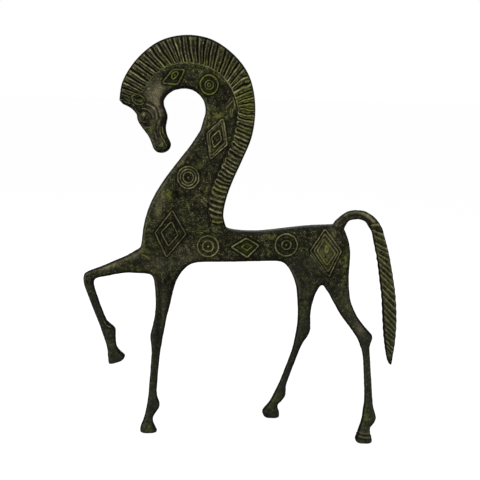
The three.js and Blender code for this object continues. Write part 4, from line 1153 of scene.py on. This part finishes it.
MANE_FAN = Fan((
    ((-89.0, 255.6), (-80.9, 253.9)), ((-88.2, 259.3), (-80.2, 256.4)),
    ((-86.8, 262.1), (-75.2, 258.9)), ((-84.6, 266.7), (-71.7, 259.7)),
    ((-82.1, 270.5), (-69.2, 263.5)), ((-80.3, 275.1), (-67.1, 266.7)),
    ((-77.4, 279.6), (-63.9, 270.2)), ((-74.6, 283.4), (-60.7, 273.0)),
    ((-70.7, 286.9), (-58.9, 276.1)), ((-66.5, 290.1), (-55.4, 277.2)),
    ((-61.9, 293.5), (-50.9, 279.0)), ((-57.0, 295.7), (-48.1, 279.8)),
    ((-51.7, 297.1), (-45.3, 279.8)), ((-44.8, 298.6), (-42.1, 279.9)),
    ((-40.6, 298.7), (-37.2, 279.9)), ((-33.6, 298.4), (-33.0, 279.3)),
    ((-28.0, 297.2), (-30.2, 278.7)), ((-23.8, 295.2), (-26.7, 277.4)),
    ((-19.2, 292.9), (-23.2, 276.1)), ((-13.9, 289.9), (-18.6, 273.7)),
    ((-9.0, 285.9), (-15.7, 271.0)), ((-4.7, 281.9), (-12.9, 268.7)),
    ((-0.7, 277.8), (-10.4, 266.6)), ((2.4, 273.7), (-9.3, 264.2)),
    ((4.2, 268.9), (-8.3, 260.8)), ((5.4, 263.4), (-7.2, 257.4)),
    ((6.2, 258.2), (-6.0, 254.0)), ((6.7, 253.6), (-5.1, 251.5)),
    ((6.9, 249.4), (-4.5, 249.3)), ((6.5, 245.2), (-4.4, 246.9)),
    ((6.2, 241.1), (-4.4, 244.0)), ((5.4, 236.0), (-5.0, 239.2)),
    ((4.4, 230.3), (-5.7, 234.1)), ((2.6, 224.2), (-6.6, 229.0)),
    ((0.5, 219.5), (-7.6, 225.0)), ((-1.8, 214.4), (-9.9, 219.3)),
    ((-4.2, 208.6), (-12.6, 213.3)), ((-6.6, 203.5), (-15.1, 208.4)),
    ((-8.7, 198.0), (-17.7, 202.9)), ((-10.4, 192.8), (-19.5, 197.0)),
    ((-12.0, 187.3), (-21.7, 190.7)), ((-13.3, 179.5), (-23.0, 183.2)),
    ((-13.9, 171.4), (-21.9, 174.2)), ((-12.7, 164.4), (-18.8, 165.5)),
))

MANE_TINTS = (
    patch((3.0, 256.0), (9.0, 18.0), green=1.0),
    patch((-26.0, 280.0), (26.0, 4.5), green=0.55),
    patch((-56.0, 281.0), (6.0, 6.0), green=0.6),
    patch((-17.0, 190.0), (7.0, 6.0), green=0.6),
    patch((-17.0, 168.0), (6.0, 6.0), green=0.55),
    patch((1.0, 232.0), (6.0, 4.0), green=0.5),
    patch((-78.0, 258.0), (6.0, 3.0), green=0.4),
)

MANE_RIM = (
    (-90.1, 253.4), (-87.5, 267.0), (-78.7, 281.1), (-66.0, 292.6), (-53.0, 298.4), (-38.0, 300.0),
    (-23.0, 296.8), (-9.3, 287.9), (0.9, 276.2), (6.2, 262.6), (7.9, 246.0), (5.6, 228.6),
    (-0.9, 211.9), (-7.4, 197.0), (-12.2, 183.0), (-14.2, 170.8), (-12.2, 162.0),
)
MANE_ROOT = (
    (-72.3, 259.8), (-69.2, 264.0), (-63.2, 271.6), (-53.6, 278.0), (-41.0, 279.9), (-28.5, 277.9),
    (-17.5, 272.3), (-9.8, 263.0), (-5.4, 252.0), (-5.0, 241.0), (-7.6, 228.0), (-12.6, 214.0),
    (-18.9, 200.4), (-23.2, 187.0), (-24.3, 175.0), (-21.0, 162.0),
)


@dataclass(frozen=True)
class CrossPin:
    """A bronze pin whose ends show in a shallow pit on both faces."""

    node: str
    centre: Point
    radius: float
    dome: float = 0.35

    def build(self) -> bpy.types.Object:
        """Builds the pin across the figure.

        Returns:
            The finished piece.
        """
        low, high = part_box(self.node)
        shape = bmesh.new()
        bmesh.ops.create_cone(
            shape, cap_ends=True, cap_tris=False, segments=40, radius1=self.radius * MM,
            radius2=self.radius * MM, depth=high.y - low.y,
        )
        rims = [edge for edge in shape.edges if len({round(v.co.z, 6) for v in edge.verts}) == 1]
        bmesh.ops.bevel(
            shape, geom=rims, offset=self.dome * MM, offset_type="OFFSET", segments=3,
            profile=0.5, affect="EDGES", material=-1,
        )
        turn = Matrix.Rotation(math.radians(90.0), 4, "X")
        bmesh.ops.transform(shape, matrix=turn, verts=shape.verts)
        middle = Vector((self.centre[0] * MM, (low.y + high.y) / 2, self.centre[1] * MM))
        bmesh.ops.translate(shape, vec=middle, verts=shape.verts)
        bmesh.ops.recalc_face_normals(shape, faces=shape.faces)
        return piece_from(shape, self.node + "_rod")


SHOWN_PINS = (
    CrossPin("neck_pin", (-50.0, 186.0), 1.5),
    CrossPin("standing_foreleg_pin", (-53.9, 120.1), 1.75),
)


class Value:
    """A number in a material, with which Python sums add Math nodes."""

    def __init__(self, paint: "Paint", socket: bpy.types.NodeSocket) -> None:
        """Wraps an output socket of the paint."""
        self.paint = paint
        self.socket = socket

    def _math(self, operation: str, *numbers: "Value | float") -> "Value":
        """Adds a Math node.

        Args:
            operation: Blender's name of the sum.
            *numbers: its inputs, in order.

        Returns:
            The result.
        """
        node = self.paint.node("ShaderNodeMath", {"operation": operation}, dict(enumerate(numbers)))
        return Value(self.paint, node.outputs[0])

    def __add__(self, other: "Value | float") -> "Value":
        """Sum."""
        return self._math("ADD", self, other)

    __radd__ = __add__

    def __sub__(self, other: "Value | float") -> "Value":
        """Difference."""
        return self._math("SUBTRACT", self, other)

    def __rsub__(self, other: float) -> "Value":
        """Difference from a number."""
        return self._math("SUBTRACT", other, self)

    def __mul__(self, other: "Value | float") -> "Value":
        """Product."""
        return self._math("MULTIPLY", self, other)

    __rmul__ = __mul__

    def at_least(self, other: "Value | float") -> "Value":
        """The larger of the two."""
        return self._math("MAXIMUM", self, other)

    def clamped(self) -> "Value":
        """The value held between 0 and 1."""
        return self._math("MINIMUM", self.at_least(0.0), 1.0)

    def stepped(self, low: float, high: float) -> "Value":
        """Smooth step from 0 at low to 1 at high."""
        node = self.paint.node(
            "ShaderNodeMapRange", {"interpolation_type": "SMOOTHSTEP"},
            {"Value": self, "From Min": low, "From Max": high},
        )
        return Value(self.paint, node.outputs[0])


Colour = tuple[float, float, float]


class Paint:
    """A material, or the world, while its nodes are laid."""

    def __init__(self, owner: bpy.types.Material | bpy.types.World) -> None:
        """Clears the nodes of the new material or world."""
        self.owner = owner
        owner.use_nodes = True
        self.tree = owner.node_tree
        self.tree.nodes.clear()

    @cached_property
    def object_place(self) -> bpy.types.NodeSocket:
        """Places on the piece itself, in metres."""
        return self.node("ShaderNodeTexCoord").outputs["Object"]

    def node(
        self,
        kind: str,
        settings: dict[str, object] | None = None,
        inputs: dict[str | int, object] | None = None,
    ) -> bpy.types.Node:
        """Adds a node.

        Args:
            kind: its type.
            settings: its own settings, set first.
            inputs: numbers, colours, sockets or values for its sockets, by name or place.

        Returns:
            The new node.
        """
        node = self.tree.nodes.new(kind)
        for key, value in (settings or {}).items():
            setattr(node, key, value)
        for key, value in (inputs or {}).items():
            socket = node.inputs[key]
            if isinstance(value, Value):
                value = value.socket
            if isinstance(value, bpy.types.NodeSocket):
                self.tree.links.new(value, socket)
            elif isinstance(value, tuple) and len(value) == 3 and socket.type == "RGBA":
                socket.default_value = (*value, 1.0)
            else:
                socket.default_value = value
        return node

    def noise(self, size: float, detail: float = 3.0, roughness: float = 0.55, seed: float = 0.0) -> Value:
        """Noise whose patches are about the given size, in mm."""
        moved = self.node(
            "ShaderNodeVectorMath", {"operation": "ADD"}, {0: self.object_place, 1: (seed, seed, seed)}
        )
        made = self.node("ShaderNodeTexNoise", None, {
            "Vector": moved.outputs[0], "Scale": 1.0 / (size * MM), "Detail": detail,
            "Roughness": roughness,
        })
        return Value(self, made.outputs[0])

    def trait(self, trait: Trait) -> Value:
        """A trait of the piece's own surface."""
        made = self.node("ShaderNodeAttribute", {"attribute_name": trait.value})
        return Value(self, made.outputs["Fac"])

    def mixed(self, base: object, over: object, share: "Value | float") -> bpy.types.NodeSocket:
        """One colour laid over another.

        Args:
            base: colour or socket below.
            over: colour or socket above.
            share: how much of the upper one shows.

        Returns:
            The mixed colour's socket.
        """
        settings = {"data_type": "RGBA", "clamp_factor": True}
        return self.node("ShaderNodeMix", settings, {0: share, 6: base, 7: over}).outputs[2]

    def rays(self, *kinds: str) -> Value:
        """1 for rays of any of the kinds, such as Camera, and 0 for the others."""
        path = self.node("ShaderNodeLightPath")
        first, *others = (Value(self, path.outputs[f"Is {kind} Ray"]) for kind in kinds)
        for other in others:
            first = first.at_least(other)
        return first

    def surface(self, inputs: dict[str, object]) -> None:
        """Ends the material in a metal shader with these sockets."""
        shader = self.node("ShaderNodeBsdfPrincipled", None, inputs)
        self.node("ShaderNodeOutputMaterial", None, {"Surface": shader.outputs[0]})


def srgb(red: int, green: int, blue: int) -> Colour:
    """Linear colour of an eight-bit screen colour."""
    shares = (channel / 255.0 for channel in (red, green, blue))
    return tuple(s / 12.92 if s <= 0.04045 else ((s + 0.055) / 1.055) ** 2.4 for s in shares)


@dataclass(frozen=True)
class OldBronze:
    """The patina of the castings: dark olive bronze, green in places, black in its recesses, with painted
    highlights on ridges, edges and grain and painted shade in hollows, undersides and sides.
    """

    name: str = "old_bronze"
    deep: Colour = srgb(9, 9, 4)
    body: Colour = srgb(39, 38, 24)
    fleck_and_glint: Colour = srgb(126, 128, 90)
    worn: Colour = srgb(106, 100, 80)
    crest: Colour = srgb(138, 133, 97)
    green: Colour = srgb(108, 114, 40)
    pit: Colour = srgb(4, 4, 2)
    side: Colour = srgb(5, 5, 4)
    cool: Colour = srgb(32, 34, 28)

    def material(self) -> bpy.types.Material:
        """Makes the material.

        Returns:
            The finished material, which reads the traits of the piece.
        """
        paint = Paint(bpy.data.materials.new(self.name))
        clouds = paint.noise(14.0, 4.0, 0.6)
        mottle = paint.noise(2.6, 5.0, 0.7, 0.37)
        speck = paint.noise(0.8, 2.0, 0.6, 0.71)
        crest, pit, green, worn, side, cool = (paint.trait(trait) for trait in Trait)
        patchy = mottle.stepped(0.34, 0.60) * (clouds.stepped(0.34, 0.58) * 0.5 + 0.5)
        colour = paint.mixed(self.deep, self.body, patchy)
        # Light flecks: the grain's own tone and painted glints.
        sparkle = speck.stepped(0.57, 0.69) * mottle.stepped(0.38, 0.62)
        colour = paint.mixed(colour, self.fleck_and_glint, sparkle * 0.85)
        colour = paint.mixed(colour, self.deep, (1.0 - speck.stepped(0.34, 0.47)) * 0.88)
        # Cooler grey tone: the legs' own tone and a painted sheen on the back, the tail's arc and the
        # forearm.
        colour = paint.mixed(colour, self.cool, cool * 0.55)
        # Lighter grey tone: wear, and painted light on the front edges and lit bands.
        worn_lit_breakup = mottle.stepped(0.3, 0.6) * 0.35 + speck.stepped(0.3, 0.6) * 0.4
        colour = paint.mixed(colour, self.worn, worn * (worn_lit_breakup + clouds.stepped(0.2, 0.6) * 0.1))
        blotches = mottle.stepped(0.50, 0.66) * clouds.stepped(0.46, 0.64)
        colour = paint.mixed(colour, self.green, blotches * (1.0 - cool * 0.6) * 0.32)
        # Light ridge tops: rubbed tone and painted highlight.
        ridge = paint.mixed(self.crest, self.green, green * (mottle.stepped(0.2, 0.6) * 0.5 + 0.5))
        colour = paint.mixed(colour, ridge, crest * (speck.stepped(0.25, 0.6) * 0.35 + 0.6))
        colour = paint.mixed(colour, self.green, green * mottle.stepped(0.34, 0.62) * (1.0 - crest) * 0.6)
        # Dark hollows: patina and painted shade.
        colour = paint.mixed(colour, self.pit, pit * (1.0 - crest * 0.85) * 0.97)
        # Near-black sides and outlines: dull patina and painted shade.
        colour = paint.mixed(colour, self.side, side * 0.95)
        rough = (mottle * 0.3 + pit * 0.2 + side * 0.4 + 0.42).clamped()
        bumps = paint.noise(0.5, 2.0, 0.6, 0.13) * 0.5 + speck * 0.9 + mottle * 0.8
        bump = paint.node("ShaderNodeBump", None, {"Strength": 0.55, "Distance": 0.25 * MM, "Height": bumps})
        paint.surface({
            "Base Color": colour, "Roughness": rough, "Metallic": (1.0 - side) * 0.2,
            "Specular IOR Level": 0.04, "Normal": bump.outputs[0],
        })
        return paint.owner


@dataclass(frozen=True)
class RodBronze:
    """Drawn bronze rod, dull brown with fine wear."""

    name: str = "rod_bronze"
    dark: Colour = srgb(8, 8, 5)
    bright: Colour = srgb(44, 42, 28)

    def material(self) -> bpy.types.Material:
        """Makes the material.

        Returns:
            The finished material.
        """
        paint = Paint(bpy.data.materials.new(self.name))
        mottle = paint.noise(1.4, 4.0, 0.6, 0.2)
        colour = paint.mixed(self.dark, self.bright, mottle.stepped(0.35, 0.68))
        bump = paint.node("ShaderNodeBump", None, {
            "Strength": 0.3, "Distance": 0.1 * MM, "Height": paint.noise(0.4, 3.0, 0.6, 0.9),
        })
        paint.surface({
            "Base Color": colour, "Roughness": mottle * 0.25 + 0.5, "Metallic": 0.2,
            "Specular IOR Level": 0.06, "Normal": bump.outputs[0],
        })
        return paint.owner


@dataclass
class Studio:
    """Camera, lamps, world and floor."""

    eye: tuple[float, float, float] = (-1.439, -611.8, 280.97)
    down: float = 12.0
    roll: float = 1.0
    lens: float = 62.32
    floor_half: float = 6.0

    def set_up(self) -> None:
        """Places the camera, the lamps, the world and the floor."""
        bpy.context.scene.view_settings.view_transform = "Standard"
        self.camera()
        self.lamp("key", (-260.0, -330.0, 620.0), 360.0, 3.6)
        self.lamp("fill", (240.0, -640.0, 260.0), 420.0, 1.5)
        self.lamp("rear", (-200.0, 640.0, 420.0), 420.0, 5.0)
        self.lamp("side", (640.0, 160.0, 150.0), 360.0, 3.0)
        self.world()
        self.floor()

    def camera(self) -> None:
        """Sets the camera to the view of the picture."""
        tilt, roll = math.radians(self.down), math.radians(self.roll)
        ahead = Vector((0.0, math.cos(tilt), -math.sin(tilt)))
        over = Vector((0.0, math.sin(tilt), math.cos(tilt)))
        right = Vector((1.0, 0.0, 0.0))
        across = right * math.cos(roll) + over * math.sin(roll)
        above = over * math.cos(roll) - right * math.sin(roll)
        turn = Matrix((across, above, -ahead)).transposed()
        lens = bpy.data.cameras.new("camera")
        lens.lens = self.lens
        lens.sensor_fit = "HORIZONTAL"
        lens.clip_start, lens.clip_end = 0.01, 50.0
        camera = bpy.data.objects.new("camera", lens)
        camera.matrix_world = Matrix.Translation(Vector(self.eye) * MM) @ turn.to_4x4()
        bpy.context.scene.collection.objects.link(camera)
        bpy.context.scene.camera = camera

    def lamp(self, name: str, place: tuple[float, float, float], size: float, power: float) -> None:
        """Adds a soft square lamp that looks at the middle of the figure.

        Args:
            name: name of the lamp.
            place: where it hangs, in mm.
            size: side of its square, in mm.
            power: its power in watts.
        """
        light = bpy.data.lights.new(name, "AREA")
        light.shape = "SQUARE"
        light.size = size * MM
        light.energy = power
        lamp = bpy.data.objects.new(name, light)
        lamp.location = Vector(place) * MM
        aim = Vector((0.0, PLATE_MIDDLE, 150.0)) * MM - lamp.location
        lamp.rotation_euler = aim.to_track_quat("-Z", "Y").to_euler()
        bpy.context.scene.collection.objects.link(lamp)

    def world(self) -> None:
        """A white surround for what looks or reflects, and a dim one for the light it gives."""
        paint = Paint(bpy.data.worlds.new("surround"))
        dim, white = (
            paint.node("ShaderNodeBackground", None, {"Color": (1.0, 1.0, 1.0), "Strength": strength})
            for strength in (0.3, 1.0)
        )
        shown = paint.rays("Camera", "Glossy", "Transmission")
        both = paint.node("ShaderNodeMixShader", None, {0: shown, 1: dim.outputs[0], 2: white.outputs[0]})
        paint.node("ShaderNodeOutputWorld", None, {"Surface": both.outputs[0]})
        bpy.context.scene.world = paint.owner

    def floor(self) -> None:
        """A white floor that keeps the figure's soft shadow."""
        shape = bmesh.new()
        bmesh.ops.create_grid(shape, x_segments=1, y_segments=1, size=self.floor_half)
        ground = piece_from(shape, "studio_floor")
        paint = Paint(bpy.data.materials.new("studio_floor"))
        matt = paint.node("ShaderNodeBsdfDiffuse", None, {"Color": (0.85, 0.85, 0.85)})
        glow = paint.node("ShaderNodeEmission", None, {"Color": (1.0, 1.0, 1.0), "Strength": 1.1})
        seen = paint.rays("Camera", "Glossy") * 0.87
        both = paint.node("ShaderNodeMixShader", None, {0: seen, 1: matt.outputs[0], 2: glow.outputs[0]})
        paint.node("ShaderNodeOutputMaterial", None, {"Surface": both.outputs[0]})
        ground.data.materials.append(paint.owner)


def dress(piece: bpy.types.Object, material: bpy.types.Material, slot: str, *nodes: str) -> None:
    """Gives a piece its material and its place in the frame.

    Args:
        piece: the new piece.
        material: its finish.
        slot: the record's slot of that finish; not used.
        *nodes: the solids that it stands for.
    """
    piece.data.materials.clear()
    piece.data.materials.append(material)
    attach(piece, "root")
    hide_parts(*nodes)
    LOG.info("%s stands for %s with %d faces", piece.name, ", ".join(nodes), len(piece.data.polygons))


def corners(box: tuple[Vector, Vector]) -> list[list[float]]:
    """A box as plain lists of metres."""
    return [[float(value) for value in corner] for corner in box]


def main() -> None:
    """Builds the scene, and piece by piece."""
    logging.basicConfig(level=logging.INFO, format="%(name)s: %(message)s")
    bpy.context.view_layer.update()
    Studio().set_up()
    bronze = OldBronze().material()
    rod = RodBronze().material()
    ornament = Ornament(CIRCLES + LOZENGES + FACE + LIMBS, TINTS)
    for node, piece in Castings(CAST, RODS, ornament).build().items():
        dress(piece, bronze, BRONZE_SLOT, node)
    comb = ManeComb(SmoothCurve(MANE_RIM), SmoothCurve(MANE_ROOT), MANE_FAN).build()
    dress(comb, bronze, BRONZE_SLOT, "mane_crest")
    for pin in SHOWN_PINS:
        dress(pin.build(), rod, ROD_SLOT, pin.node)
    shown = [pin.node for pin in SHOWN_PINS]
    for name in (name for name in RODS if name not in shown):
        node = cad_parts[name]
        node.data.materials.clear()
        node.data.materials.append(rod)
        LOG.info("%s keeps its solid, in bronze rod", name)


if __name__ == "__main__":
    main()
